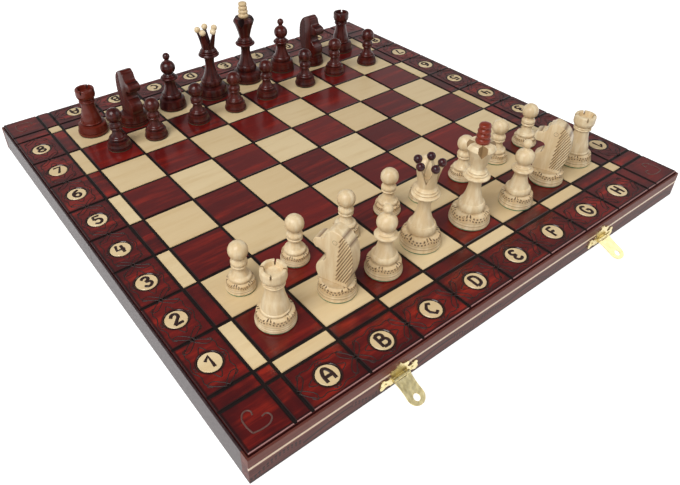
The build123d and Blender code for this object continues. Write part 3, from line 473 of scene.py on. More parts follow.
def rail_wood(name, base, tint, coat):
    """Stained rail, darker in a ragged band at its foot and dark at its lip, marked on the long
    sides.
    """
    shader = Shader(name)
    x, y, z = shader.place()
    streak = shader.grain(x, y, z, along=0.012, across=0.35)
    fine = shader.grain(x, y, z, along=0.04, across=2.2)
    colour = shader.mix(shader.step(streak, 0.40, 0.70), base, tint)
    colour = shader.tint(colour, shader.step(fine, 0.52, 0.72), 0.5, (0.045, 0.012, 0.012))
    long_side = shader.above(shader.absolute(y), LONG_SIDE)
    upper = shader.times(shader.step(z, 17.0, 19.5), long_side)
    colour = shader.tint(colour, upper, 0.35, (0.27, 0.085, 0.055))
    marks = shader.times(rail_marks(shader, x, y, z), long_side)
    colour = shader.tint(colour, marks, 0.85, (0.014, 0.005, 0.005))
    # a ragged band along the foot of the rail is drawn darker
    foot_raggedness = shader.noise(shader.join(x, y, z), scale=0.35, detail=4.0)
    foot = shader.step(shader.times_plus(foot_raggedness, -2.2, z), 0.9, 0.1)
    colour = shader.mix(foot, colour, (0.030, 0.014, 0.014))
    colour = shader.tint(colour, shader.step(z, 26.2, 27.2), 0.35, (0.03, 0.005, 0.005))
    return shader.finish(colour, 0.5, shader.bump(fine, 0.00012, 0.3), Coat_Weight=coat,
                         Coat_Roughness=0.3, Specular_IOR_Level=0.15)


def plain_wood(name, low, high, roughness, coat=0.0):
    shader = Shader(name)
    x, y, z = shader.place()
    streak = shader.grain(x, y, z, along=0.02, across=0.5)
    colour = shader.mix(shader.step(streak, 0.35, 0.7), low, high)
    return shader.finish(colour, roughness, Coat_Weight=coat, Coat_Roughness=0.2)


def felt_cloth(name, low, high):
    shader = Shader(name)
    fuzz = shader.noise(shader.join(*shader.place()), scale=1.4, detail=4.0)
    colour = shader.mix(fuzz, low, high)
    return shader.finish(colour, 0.95, shader.bump(fuzz, 0.0003, 0.8), Sheen_Weight=0.3)


def brass_metal(low, high):
    shader = Shader("brass")
    place = shader.join(*shader.place())
    cloud = shader.noise(place, scale=0.3, detail=2.0)
    colour = shader.mix(cloud, low, high)
    emboss = shader.noise(place, scale=0.22, detail=1.0)
    return shader.finish(colour, 0.30, shader.bump(emboss, 0.0012, 0.12), Metallic=1.0)


def burnt_lines(name, low, high):
    shader = Shader(name)
    cloud = shader.noise(shader.join(*shader.place()), scale=0.4)
    return shader.finish(shader.mix(cloud, low, high), 0.45, Specular_IOR_Level=0.4)


def belt_marks(shader, belt, angle, offset):
    """Two wavy rows of short burnt strokes round a man's foot."""
    wave = shader.absolute(shader.math("SINE", shader.times(angle, 2.5)))
    marks = None
    for middle, lift, count in ((0.66, -0.36, 38.0), (0.98, -0.34, 33.0)):
        row = shader.near(belt, shader.times_plus(wave, lift, middle), 0.13, 0.07)
        teeth = shader.step(shader.math("SINE", shader.times(angle, count)), -0.3, 0.2)
        spot = shader.noise(shader.join(shader.times(angle, 9.0), shader.times(belt, 6.0),
                                        offset), detail=2.0)
        row = shader.times(row, shader.times(teeth, shader.step(spot, 0.36, 0.46)))
        marks = row if marks is None else shader.larger(marks, row)
    return marks


def turned_wood(name, low, high, stain, line_colour, mane_colour, coat, belt_strength=0.0,
                roughness=0.36):
    """Wood of the men: grain up the piece, dark lines round it with painted shade in the foot's
    groove, painted shade in cut notches and slits, burnt belt, eye and mane.
    """
    shader = Shader(name)
    x, y, z = shader.split(shader.attribute("local", "Vector"))
    belt = shader.attribute("belt")
    tone = shader.attribute("tone")
    offset = shader.times(tone, 19.0)
    figure = shader.noise(shader.join(shader.times_plus(x, 0.22, offset),
                                      shader.times(y, 0.22), shader.times(z, 0.035)), detail=5.0)
    colour = shader.mix(shader.step(figure, 0.35, 0.70), low, high)
    colour = shader.tint(colour, tone, 0.85, stain)
    if belt_strength:
        toast = shader.near(belt, 0.55, 0.62, 0.15)
        colour = shader.tint(colour, toast, 0.42 * belt_strength, (0.50, 0.30, 0.12))
        marks = belt_marks(shader, belt, shader.math("ARCTAN2", y, x), offset)
        colour = shader.tint(colour, marks, 0.9 * belt_strength, (0.075, 0.035, 0.015))
    # dark rings round the man; the first is painted shade in the foot's groove
    for level, share in DARK_RINGS:
        colour = shader.tint(colour, shader.near(belt, level, 0.10, 0.04), share, line_colour)
    # painted shade on the faces cut by crown notches and rook slits
    colour = shader.mix(shader.attribute("cut"), colour, line_colour)
    colour = shader.tint(colour, shader.attribute("carved"), 0.9, mane_colour)
    away = shader.distance(shader.minus(x, EYE[0]), shader.minus(z, EYE[1]))
    swirl = shader.times(shader.step(shader.math("PINGPONG", away, 1.0), 0.40, 0.15),
                         shader.step(away, 3.7, 3.3))
    swirl = shader.times(swirl, shader.attribute("horse"))
    colour = shader.tint(colour, swirl, 0.55, mane_colour)
    fine = shader.noise(shader.join(0.0, 0.0, shader.times(z, 2.2)), detail=1.0)
    return shader.finish(colour, roughness, shader.bump(fine, 0.00006, 0.25), Coat_Weight=coat,
                         Coat_Roughness=0.18, Specular_IOR_Level=0.2)


# ---------------------------------------------------------------- modelling helpers
def deselect_all():
    for obj in list(bpy.context.selected_objects):
        obj.select_set(False)


def select_only(obj):
    deselect_all()
    obj.select_set(True)
    bpy.context.view_layer.objects.active = obj


def markers():
    """Two plain materials that tell a model's turned faces from its cut ones."""
    return [bpy.data.materials.get(name) or bpy.data.materials.new(name)
            for name in ("turned faces", "cut faces")]


def give(obj, material):
    obj.data.materials.clear()
    obj.data.materials.append(material)


def arc_points(start, through, end, count):
    """Points after the start on the circle through three points."""
    ax, ay = start
    bx, by = through
    cx, cy = end
    d = 2 * (ax * (by - cy) + bx * (cy - ay) + cx * (ay - by))
    if abs(d) < 1e-9:
        return [end]
    ux = ((ax * ax + ay * ay) * (by - cy) + (bx * bx + by * by) * (cy - ay)
          + (cx * cx + cy * cy) * (ay - by)) / d
    uy = ((ax * ax + ay * ay) * (cx - bx) + (bx * bx + by * by) * (ax - cx)
          + (cx * cx + cy * cy) * (bx - ax)) / d
    radius = math.hypot(ax - ux, ay - uy)
    first = math.atan2(ay - uy, ax - ux)
    turn = (math.atan2(cy - uy, cx - ux) - first) % (2 * math.pi)
    middle = (math.atan2(by - uy, bx - ux) - first) % (2 * math.pi)
    if middle > turn:
        turn -= 2 * math.pi
    return [(ux + radius * math.cos(first + turn * k / count),
             uy + radius * math.sin(first + turn * k / count)) for k in range(1, count)] + [end]


def sampled(outline, count=9):
    """Turn an outline of points and arcs into plain points."""
    points = [outline[0]]
    for move in outline[1:]:
        if isinstance(move[0], tuple):
            points += arc_points(points[-1], move[0], move[1], count)
        else:
            points.append(move)
    return points


def one_vertex(name, at):
    """A new mesh in edit mode that holds a single selected vertex."""
    deselect_all()
    bpy.ops.mesh.primitive_plane_add(size=MM)
    obj = bpy.context.object
    obj.name = name
    bpy.ops.object.mode_set(mode="EDIT")
    bpy.ops.mesh.select_all(action="SELECT")
    bpy.ops.mesh.merge(type="CENTER")
    bpy.ops.transform.translate(value=at)
    return obj


def draw_chain(points):
    """Extrude the selected vertex from point to point."""
    for here, there in zip(points, points[1:]):
        bpy.ops.mesh.extrude_region_move(
            TRANSFORM_OT_translate={"value": Vector(there) - Vector(here)})


def smooth(obj, angle=38.0):
    select_only(obj)
    bpy.ops.object.shade_smooth_by_angle(angle=math.radians(angle))


def lathe(name, profile, steps):
    """A closed body turned round Z from (radius, height) points in millimetres."""
    points = [(radius * MM, 0.0, height * MM) for radius, height in profile]
    obj = one_vertex(name, points[0])
    draw_chain(points)
    bpy.ops.mesh.select_all(action="SELECT")
    bpy.ops.mesh.spin(steps=steps, angle=2 * math.pi, center=(0, 0, 0), axis=(0, 0, 1))
    bpy.ops.mesh.select_all(action="SELECT")
    bpy.ops.mesh.remove_doubles(threshold=0.02 * MM)
    bpy.ops.mesh.normals_make_consistent(inside=False)
    bpy.ops.object.mode_set(mode="OBJECT")
    smooth(obj)
    return obj


def slab(name, outline, thickness, start=None):
    """An outline in XZ extruded along Y, about the middle unless a start is given."""
    low = -thickness / 2 if start is None else start
    points = [(x * MM, low * MM, z * MM) for x, z in outline]
    obj = one_vertex(name, points[0])
    draw_chain(points)
    bpy.ops.mesh.select_all(action="SELECT")
    bpy.ops.mesh.edge_face_add()
    bpy.ops.mesh.extrude_region_move(
        TRANSFORM_OT_translate={"value": (0, thickness * MM, 0)})
    bpy.ops.mesh.select_all(action="SELECT")
    bpy.ops.mesh.normals_make_consistent(inside=False)
    bpy.ops.object.mode_set(mode="OBJECT")
    return obj


def apply_modifier(obj, kind, **settings):
    select_only(obj)
    modifier = obj.modifiers.new(kind.lower(), kind)
    for key, value in settings.items():
        setattr(modifier, key, value)
    bpy.ops.object.modifier_apply(modifier=modifier.name)


def cut(obj, tool):
    """Take the tool's shape away from the object."""
    apply_modifier(obj, "BOOLEAN", operation="DIFFERENCE", solver="EXACT", object=tool,
                   material_mode="TRANSFER")
    bpy.data.objects.remove(tool, do_unlink=True)


def fuse(obj, other):
    apply_modifier(obj, "BOOLEAN", operation="UNION", solver="EXACT", object=other)
    bpy.data.objects.remove(other, do_unlink=True)


def joined(parts):
    """One untransformed object made of several."""
    deselect_all()
    for part in parts:
        part.select_set(True)
    bpy.context.view_layer.objects.active = parts[0]
    bpy.ops.object.join()
    bpy.ops.object.transform_apply(location=True, rotation=True, scale=True)
    return bpy.context.object


# ---------------------------------------------------------------- the men's outlines
def foot_outline(kind, groove):
    """Rounded base with a fine line above it, then the slope that carries the belt."""
    radius, foot_height = MEN[kind]["base"], MEN[kind]["foot"]
    shoulder_radius, shoulder_height = MEN[kind]["shoulder"]
    edge = radius - FOOT_ROUND / 2
    rise = shoulder_height - foot_height
    belt_top = shoulder_radius + 0.62 * (radius - shoulder_radius)
    line_height = FELT + 0.62 * (foot_height - FELT)
    return [
        (0, FELT),
        (radius - 0.8, FELT),
        ((radius - 0.15, FELT + 0.3), (radius, FELT + 1.2)),
        (radius, line_height - 0.55),
        (radius - groove, line_height - 0.1),
        (radius - groove, line_height + 0.1),
        (radius - 0.25, line_height + 0.5),
        (edge + 0.55, foot_height),
        ((edge - 0.05, foot_height + 0.5 * rise), (belt_top, foot_height + 0.8 * rise)),
        (shoulder_radius - 0.6, shoulder_height + 0.1),
    ]


def ogee(low, high):
    drop, rise = low[0] - high[0], high[1] - low[1]
    middle = (low[0] - 0.52 * drop, low[1] + 0.46 * rise)
    return [
        ((low[0] - 0.13 * drop, low[1] + 0.25 * rise), middle),
        ((high[0] + 0.16 * drop, high[1] - 0.28 * rise), high),
    ]


def swell(radius, low, neck, knee=0.3):
    """A rounded swell above the shoulder, then a hollow taper up to the neck."""
    top = low + knee * (neck[1] - low)
    start = radius - 2.3
    return [
        (radius - 1.0, low),
        ((radius, low + 0.48 * (top - low)), (radius - 1.4, top)),
        (start, top + 0.4),
        ((start - 0.60 * (start - neck[0]), top + 0.42 * (neck[1] - top)), neck),
    ]


def bead(radius, low, high, root):
    return [(root, low), ((radius, (low + high) / 2), (root, high))]


def ball_outline(seat_radius, ball_radius, seat_height):
    middle = seat_height + math.sqrt(ball_radius ** 2 - seat_radius ** 2)
    return [((ball_radius, middle), (0, middle + ball_radius))]


def court_outline(kind, bell, neck, collar_radius, collar_low, collar_height, crown_foot, groove):
    """Foot, swell, neck, stepped collar and the root of the crown."""
    neck_radius = neck[0]
    foot_radius, foot_top = crown_foot
    collar_top = collar_low + collar_height
    outline = foot_outline(kind, groove)
    outline += swell(bell, MEN[kind]["shoulder"][1] + 0.3, neck)
    outline += [
        (neck_radius + STEP, collar_low),
        (collar_radius - 2 * STEP, collar_low + 0.3),
        ((collar_radius, collar_low + 0.26 * collar_height),
         (collar_radius - 1.1, collar_low + 0.48 * collar_height)),
        (foot_radius + 3.3, collar_low + 0.58 * collar_height),
    ]
    outline += bead(foot_radius + 3.1, collar_low + 0.62 * collar_height, collar_top,
                    foot_radius + 2.2)
    outline += bead(foot_radius + 2.0, collar_top + 0.2,
                    collar_top + 0.45 * (foot_top - collar_top), foot_radius + 1.1)
    outline += [(foot_radius, foot_top - STEP), (foot_radius, foot_top)]
    return outline


def pawn_shape(settings):
    outline = foot_outline("pawn", settings.groove / MM)
    outline += swell(9.9, 10.8, (4.7, 23.4))
    outline += [(5.6, 23.8), ((7.0, 24.6), (6.7, 25.8)), (6.2, 26.2), (6.9, 26.8),
                ((7.25, 28.6), (6.6, 30.6)), (5.2, 32.6), (5.2, 33.4)]
    outline += ball_outline(5.2, 8.6, 33.4)
    return lathe("pawn_model", sampled(outline, 10), settings.steps)


def rook_shape(settings):
    outline = foot_outline("rook", settings.groove / MM)
    outline += bead(12.3, 13.3, 15.6, 11.4)
    outline += ogee((10.9, 15.9), (7.2, 39.3))
    outline += [(8.2, 39.5), ((9.0, 40.4), (8.0, 41.2)), (7.6, 41.4),
                ((8.7, 42.2), (7.9, 43.0)), (7.7, 43.2)]
    outline += [((9.7, 45.2), (10.6, 50.1)), (10.7, 53.6), (10.5, 54.9), (10.0, 55.6),
                (9.4, 55.7), (7.9, 55.7), (7.4, 55.3), (6.6, 51.2), (0, 51.2)]
    obj = lathe("rook_model", sampled(outline), settings.steps)
    wood, notch_marker = markers()
    give(obj, wood)
    for turn in (45, 135):
        tool = slab("slit", [(-0.75, 51.9), (0.75, 51.9), (0.75, 60), (-0.75, 60)], 40)
        give(tool, notch_marker)
        tool.rotation_euler.z = math.radians(turn)
        cut(obj, tool)
    smooth(obj)
    return obj


def bishop_shape(settings):
    outline = foot_outline("bishop", settings.groove / MM)
    outline += swell(12.2, 13.7, (6.2, 34.0))
    outline += [(7.4, 36.6), (8.4, 38.2), ((10.3, 39.6), (9.2, 40.9)), (7.6, 41.4),
                ((7.6, 42.6), (6.2, 43.4)), (5.0, 44.4), (4.8, 45.2),
                ((9.0, 52.4), (3.4, 60.4)), (2.4, 62.8)]
    outline += ball_outline(2.4, 4.3, 62.8)
    return lathe("bishop_model", sampled(outline, 10), settings.steps)


def side_wedge(half_width, height):
    return [(0, 0), (half_width, height), (-half_width, height)]


def queen_shape(settings):
    groove = settings.groove / MM
    outline = court_outline("queen", 13.2, (5.6, 43.0), 12.8, 53.6, 5.6, (8.0, 64.0), groove)
    outline += [((9.5, 73.7), (12.0, 83.4)), (9.3, 83.4), (5.3, 66.4), (0, 66.4)]
    obj = lathe("queen_model", sampled(outline), settings.steps)
    wood, notch_marker = markers()
    give(obj, wood)
    low, first, pitch = CROWN_CUTS["queen"][0][1], *CROWN_CUTS["queen"][2:]
    rise = QUEEN_RIM - low
    half_width = rise * math.tan(math.radians(NOTCH_HALF_ANGLE))
    for place in range(5):
        tool = slab("notch", side_wedge(half_width, rise), 13, start=0)
        give(tool, notch_marker)
        tool.location.z = low * MM
        tool.rotation_euler.z = math.radians(first + pitch * place - 90)
        cut(obj, tool)
    smooth(obj, 30)
    return obj


def king_shape(settings):
    groove = settings.groove / MM
    outline = court_outline("king", 12.8, (5.8, 42.0), 12.5, 49.8, 5.6, (7.0, 60.4), groove)
    outline += [((9.56, 70.7), (13.4, 81.0)), (13.0, 82.6), (11.6, 85.2), (11.2, KING_TOP),
                (0, KING_TOP)]
    obj = lathe("king_model", sampled(outline), settings.steps)
    wood, notch_marker = markers()
    give(obj, wood)
    (top_out, top), (low_out, low), first, pitch = CROWN_CUTS["king"]
    for place in range(4):
        turn = math.radians(first + pitch * place)
        outward = Vector((math.cos(turn), math.sin(turn), 0))
        inner = outward * top_out + Vector((0, 0, top))
        outer = outward * low_out + Vector((0, 0, low))
        run = (outer - inner).normalized()
        across = Vector((0, 0, 1)).cross(outward)
        up = run.cross(across) if run.cross(across).z > 0 else across.cross(run)
        tool = slab("notch", side_wedge(21.0, 24.0), 40, start=0)
        give(tool, notch_marker)
        axes = Matrix((across, run, up)).transposed().to_4x4()
        tool.matrix_world = Matrix.Translation(inner * MM) @ axes
        cut(obj, tool)
    smooth(obj, 30)
    return obj


def finial_shape(settings):
    """Ribs that grow a little smaller upwards, under a domed end."""
    outline = [(0, KING_TOP), (5.6, KING_TOP)]
    for rib in range(FINIAL_RIBS):
        radius = 6.6 - 1.2 * rib / (FINIAL_RIBS - 1)
        root = radius - 0.8
        low = KING_TOP + rib * FINIAL_PITCH
        if rib:
            outline.append((root, low + 0.5))
        outline.append(((radius, low + FINIAL_PITCH / 2), (root, low + FINIAL_PITCH - 0.2)))
    top = KING_TOP + FINIAL_HEIGHT
    outline.append(((3.0, top - 0.3), (0, top)))
    return lathe("finial_model", sampled(outline, 8), settings.steps)


def balls_shape(settings):
    parts = []
    for place in range(5):
        turn = math.radians(72 * place)
        middle = Vector((BALL["out"] * math.cos(turn), BALL["out"] * math.sin(turn), BALL["up"]))
        bpy.ops.mesh.primitive_uv_sphere_add(segments=28, ring_count=16,
                                             radius=BALL["radius"] * MM, location=middle * MM)
        parts.append(bpy.context.object)
    obj = joined(parts)
    obj.name = "balls_model"
    smooth(obj, 60)
    return obj


def mane_line(count):
    """Low end and direction of one carved line, as (forward, up) pairs."""
    slope = math.radians(MANE_SLOPE)
    run = (-math.cos(slope), math.sin(slope))
    distance = MANE_START + MANE_PITCH * count
    up = MANE_LOW
    forward = (distance - up * math.cos(slope)) / math.sin(slope)
    limit = -1.8
    if forward > limit:
        forward = limit - 0.16 * (forward - limit)
        up = (distance - forward * math.sin(slope)) / math.cos(slope)
    return (forward, up), run


def mane_grooves():
    """Diamond-section bars that cut the mane's slanting lines into both sides."""
    bars = []
    for face in (-1, 1):
        for count in range(MANE_LINES):
            (forward, up), run = mane_line(count)
            bpy.ops.mesh.primitive_cube_add(size=1)
            bar = bpy.context.object
            along = Vector((run[0], 0, run[1]))
            side = Vector((0, 1, 0))
            third = along.cross(side)
            turn = Matrix((along, (side + third).normalized(), (third - side).normalized()))
            low = Vector((forward, face * HEAD_THICKNESS / 2, up))
            size = Matrix.Diagonal((MANE_LENGTH * MM, MANE_GROOVE * MM, MANE_GROOVE * MM, 1))
            bar.matrix_world = (Matrix.Translation((low + along * MANE_LENGTH / 2) * MM)
                                @ turn.transposed().to_4x4() @ size)
            bars.append(bar)
    return joined(bars)


def knight_shape(settings):
    outline = [(-12.45, 7.8), (14.8, 7.8), (14.95, 16.3), ((16.8, 22.8), (15.6, 28.7)),
               (11.0, 33.2), ((7.6, 36.4), (7.3, 38.6)), ((7.6, 42.0), (9.8, 44.4)),
               (12.6, 45.0), (16.2, 45.0), ((19.3, 49.2), (17.6, 54.6)), (13.6, 56.2),
               ((9.6, 57.4), (8.2, 60.0)), (6.8, 64.5), (4.6, 65.4), ((2.4, 67.4), (0, 67.4)),
               ((-10.5, 61.6), (-15.3, 52.9)), ((-16.6, 40), (-12.6, 20))]
    head = slab("knight_model", sampled(outline, 8), HEAD_THICKNESS)
    apply_modifier(head, "BEVEL", width=settings.head_round, segments=3, limit_method="ANGLE",
                   angle_limit=math.radians(50))
    cut(head, mane_grooves())
    plinth = foot_outline("knight", settings.groove / MM) + [(12.9, 14.0), (0, 14.4)]
    foot = lathe("plinth", sampled(plinth), settings.steps)
    fuse(head, foot)
    smooth(head, 24)
    return head


def pad_shape(kind, settings):
    radius = MEN[kind]["base"] - 0.6
    outline = [(0, 0.02), (radius, 0.02), (radius + 0.3, FELT / 2), (radius, FELT), (0, FELT)]
    return lathe(kind + "_pad", outline, settings.steps)


SET_IN = {"king": ("finial", 0.9), "queen": ("balls", 0.0)}      # piece and its tone


def mark_attributes(obj, kind):
    """Store what the wood's material asks for on the mesh: the man's own coordinates, the
    height on its belt, carved lines, the painted shade of cut faces, a knight's head and room for
    its tone."""
    mesh = obj.data
    low, high = MEN[kind]["foot"], MEN[kind]["shoulder"][1]
    mesh.attributes.new("local", "FLOAT_VECTOR", "POINT")
    for name in ("belt", "carved", "horse", "tone"):
        mesh.attributes.new(name, "FLOAT", "POINT")
    mesh.attributes.new("cut", "FLOAT", "FACE")
    local, belt, carved, horse = (mesh.attributes[name]
                                  for name in ("local", "belt", "carved", "horse"))
    for vertex in mesh.vertices:
        x, y, z = vertex.co / MM
        local.data[vertex.index].vector = (x, y, z)
        belt.data[vertex.index].value = (z - low) / (high - low)
        across = (x * math.sin(math.radians(MANE_SLOPE)) + z * math.cos(math.radians(MANE_SLOPE))
                  - MANE_START) / MANE_PITCH
        is_head = kind == "knight" and z > high + 2
        is_carved = (is_head and abs(across - round(across)) < 0.08
                     and 5.9 < abs(y) < HEAD_THICKNESS / 2 - 0.4)
        carved.data[vertex.index].value = float(is_carved)
        horse.data[vertex.index].value = float(is_head)
    shade = NOTCH_SHADE.get(kind, 0.0)
    for face in mesh.polygons:
        is_cut = face.material_index > 0
        mesh.attributes["cut"].data[face.index].value = shade if is_cut else 0.0
        face.material_index = 0


def stand_man(template, name, place, heading, tone, material):
    """A copy of a model, set on its square and left untransformed at the origin."""
    obj = template.copy()
    obj.data = template.data.copy()
    obj.name = name
    bpy.context.collection.objects.link(obj)
    obj.location = place
    obj.rotation_euler = (0, 0, math.radians(heading))
    select_only(obj)
    bpy.ops.object.transform_apply(location=True, rotation=True, scale=True)
    if "tone" in obj.data.attributes:
        for item in obj.data.attributes["tone"].data:
            item.value = tone
    give(obj, material)
    return obj


def stand_of(name):
    """Where a man stands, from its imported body, and its heading."""
    low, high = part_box(name)
    x, y, heading = (low.x + high.x) / 2, (low.y + high.y) / 2, 0.0
    if name in KNIGHTS:
        x, y, heading = KNIGHTS[name]
        x, y = x * MM, y * MM
    if name == "white_queen_d1":
        heading = QUEEN_TURN
    return (x, y, BOARD_TOP * MM), heading


def once(name, build, *values, **others):
    """The material of a name, built the first time that it is asked for."""
    return bpy.data.materials.get(name) or build(name, *values, **others)


def stand_men(kind, model, settings, set_in=None):
    """Stand all men of a kind on their squares, with their felts and what is set in."""
    pale = once("pale turned wood", turned_wood, settings.pale_low, settings.pale_high,
                stain=(0.62, 0.45, 0.24), line_colour=(0.28, 0.17, 0.075),
                mane_colour=(0.16, 0.08, 0.035), coat=0.30, belt_strength=1.0)
    dark = once("dark turned wood", turned_wood, settings.dark_low, settings.dark_high,
                stain=(0.13, 0.014, 0.005), line_colour=BURNT, mane_colour=BURNT, coat=0.45,
                roughness=0.40)
    rosy = once("dark set-in wood", turned_wood, (0.030, 0.006, 0.010), (0.06, 0.009, 0.010),
                stain=(0.26, 0.034, 0.012), line_colour=(0.05, 0.008, 0.006),
                mane_colour=(0.012, 0.004, 0.004), coat=0.35, roughness=0.34)
    felts = {"white": once("green felt", felt_cloth, (0.02, 0.12, 0.05), settings.white_felt),
             "black": once("olive felt", felt_cloth, (0.02, 0.03, 0.012), settings.black_felt)}
    pad_model = pad_shape(kind, settings)
    models = [obj for obj in (model, set_in) if obj]
    for obj in models:
        mark_attributes(obj, kind)
    men = sorted(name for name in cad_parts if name.split("_")[0] in felts)
    for count, name in enumerate(men):
        colour = name.split("_")[0]
        if name.split("_")[1] != kind:
            continue
        place, heading = stand_of(name)
        tone = 1.0 if name == ORANGE_ROOK else (count * 0.618) % 1.0 * 0.4
        wood = stand_man(model, name + "_wood", place, heading, tone,
                         pale if colour == "white" else dark)
        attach(wood, name)
        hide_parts(name)
        pad = stand_man(pad_model, name + "_felt", place, heading, 0.0, felts[colour])
        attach(pad, name)
        if set_in:
            piece, tone = SET_IN[kind]
            extra = stand_man(set_in, f"{name}_{piece}", place, heading, tone,
                              rosy if colour == "white" else pale)
            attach(extra, name)
    for obj in (*models, pad_model):
        bpy.data.objects.remove(obj, do_unlink=True)
    for marker in markers():
        bpy.data.materials.remove(marker)


class OBJECT_OT_chess_box_pawns(bpy.types.Operator):
    """Turn the sixteen pawns"""
    bl_idname = "object.chess_box_pawns"
    bl_label = "Turn the pawns"

    def execute(self, context):
        settings = context.scene.chess_box_men
        stand_men("pawn", pawn_shape(settings), settings)
        return {"FINISHED"}


class OBJECT_OT_chess_box_rooks(bpy.types.Operator):
    """Turn the four rooks and saw the slits of their crowns"""
    bl_idname = "object.chess_box_rooks"
    bl_label = "Turn the rooks"

    def execute(self, context):
        settings = context.scene.chess_box_men
        stand_men("rook", rook_shape(settings), settings)
        return {"FINISHED"}


class OBJECT_OT_chess_box_knights(bpy.types.Operator):
    """Carve the four knights' heads and set them on turned feet"""
    bl_idname = "object.chess_box_knights"
    bl_label = "Carve the knights"

    def execute(self, context):
        settings = context.scene.chess_box_men
        stand_men("knight", knight_shape(settings), settings)
        return {"FINISHED"}


class OBJECT_OT_chess_box_bishops(bpy.types.Operator):
    """Turn the four bishops"""
    bl_idname = "object.chess_box_bishops"
    bl_label = "Turn the bishops"

    def execute(self, context):
        settings = context.scene.chess_box_men
        stand_men("bishop", bishop_shape(settings), settings)
        return {"FINISHED"}


class OBJECT_OT_chess_box_queens(bpy.types.Operator):
    """Turn both queens, cut their crowns and set the balls on them"""
    bl_idname = "object.chess_box_queens"
    bl_label = "Turn the queens"

    def execute(self, context):
        settings = context.scene.chess_box_men
        stand_men("queen", queen_shape(settings), settings, balls_shape(settings))
        return {"FINISHED"}


class OBJECT_OT_chess_box_kings(bpy.types.Operator):
    """Turn both kings, cut their crowns and set the finials in"""
    bl_idname = "object.chess_box_kings"
    bl_label = "Turn the kings"

    def execute(self, context):
        settings = context.scene.chess_box_men
        stand_men("king", king_shape(settings), settings, finial_shape(settings))
        return {"FINISHED"}


# ---------------------------------------------------------------- ornament
def new_curve(name, radius, material):
    data = bpy.data.curves.new(name, "CURVE")
    data.dimensions = "3D"
    data.bevel_depth = radius
    data.bevel_resolution = 2
    data.resolution_u = 6
    data.use_fill_caps = True
    obj = bpy.data.objects.new(name, data)
    bpy.context.collection.objects.link(obj)
    data.materials.append(material)
    return obj


def hand_over(curve, name, body):
    """Make a mesh of a curve and let it ride a body."""
    select_only(curve)
    bpy.ops.object.convert(target="MESH")
    obj = bpy.context.object
    obj.name = name
    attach(obj, body)


def add_stroke(curve, points, middle, turn, height, is_smooth=True):
    """Lay a stroke in millimetres at a place on the board, turned by degrees."""
    cosine, sine = math.cos(math.radians(turn)), math.sin(math.radians(turn))
    spline = curve.data.splines.new("BEZIER")
    spline.bezier_points.add(len(points) - 1)
    for knot, (x, y) in zip(spline.bezier_points, points):
        knot.co = ((middle[0] + x * cosine - y * sine) * MM,
                   (middle[1] + x * sine + y * cosine) * MM, height)
        knot.handle_left_type = knot.handle_right_type = "AUTO" if is_smooth else "VECTOR"


def scaled(points, wide, high):
    return [(x * wide, y * high) for x, y in points]


def half_of(y):
    return "front" if y < 0 else "rear"


class OBJECT_OT_chess_box_signs(bpy.types.Operator):
    """Burn the letters and digits on their discs"""
    bl_idname = "object.chess_box_signs"
    bl_label = "Burn letters and digits"

    def execute(self, context):
        settings = context.scene.chess_box_ornament
        material = burnt_lines("burnt sign", (0.012, 0.005, 0.004), (0.040, 0.014, 0.010))
        height = BOARD_TOP * MM - 0.70 * settings.sign_line
        curves = {half: new_curve(half + "_signs", settings.sign_line, material)
                  for half in ("front", "rear")}
        spots = []
        for k in range(8):
            along = (k - 3.5) * SQUARE
            spots.append(("ABCDEFGH"[k], (along, -BAND_MIDDLE), 0))
            spots.append(("ABCDEFGH"[k], (along, BAND_MIDDLE), 180))
            spots.append(("12345678"[k], (-BAND_MIDDLE, along), 0))
            spots.append(("12345678"[k], (BAND_MIDDLE, along), 180))
        size = settings.sign_height / MM
        for sign, middle, turn in spots:
            for is_smooth, points in SIGNS[sign]:
                add_stroke(curves[half_of(middle[1])], scaled(points, size, size), middle,
                           turn, height, is_smooth)
        for half, curve in curves.items():
            hand_over(curve, half + "_signs", half + "_half")
        return {"FINISHED"}


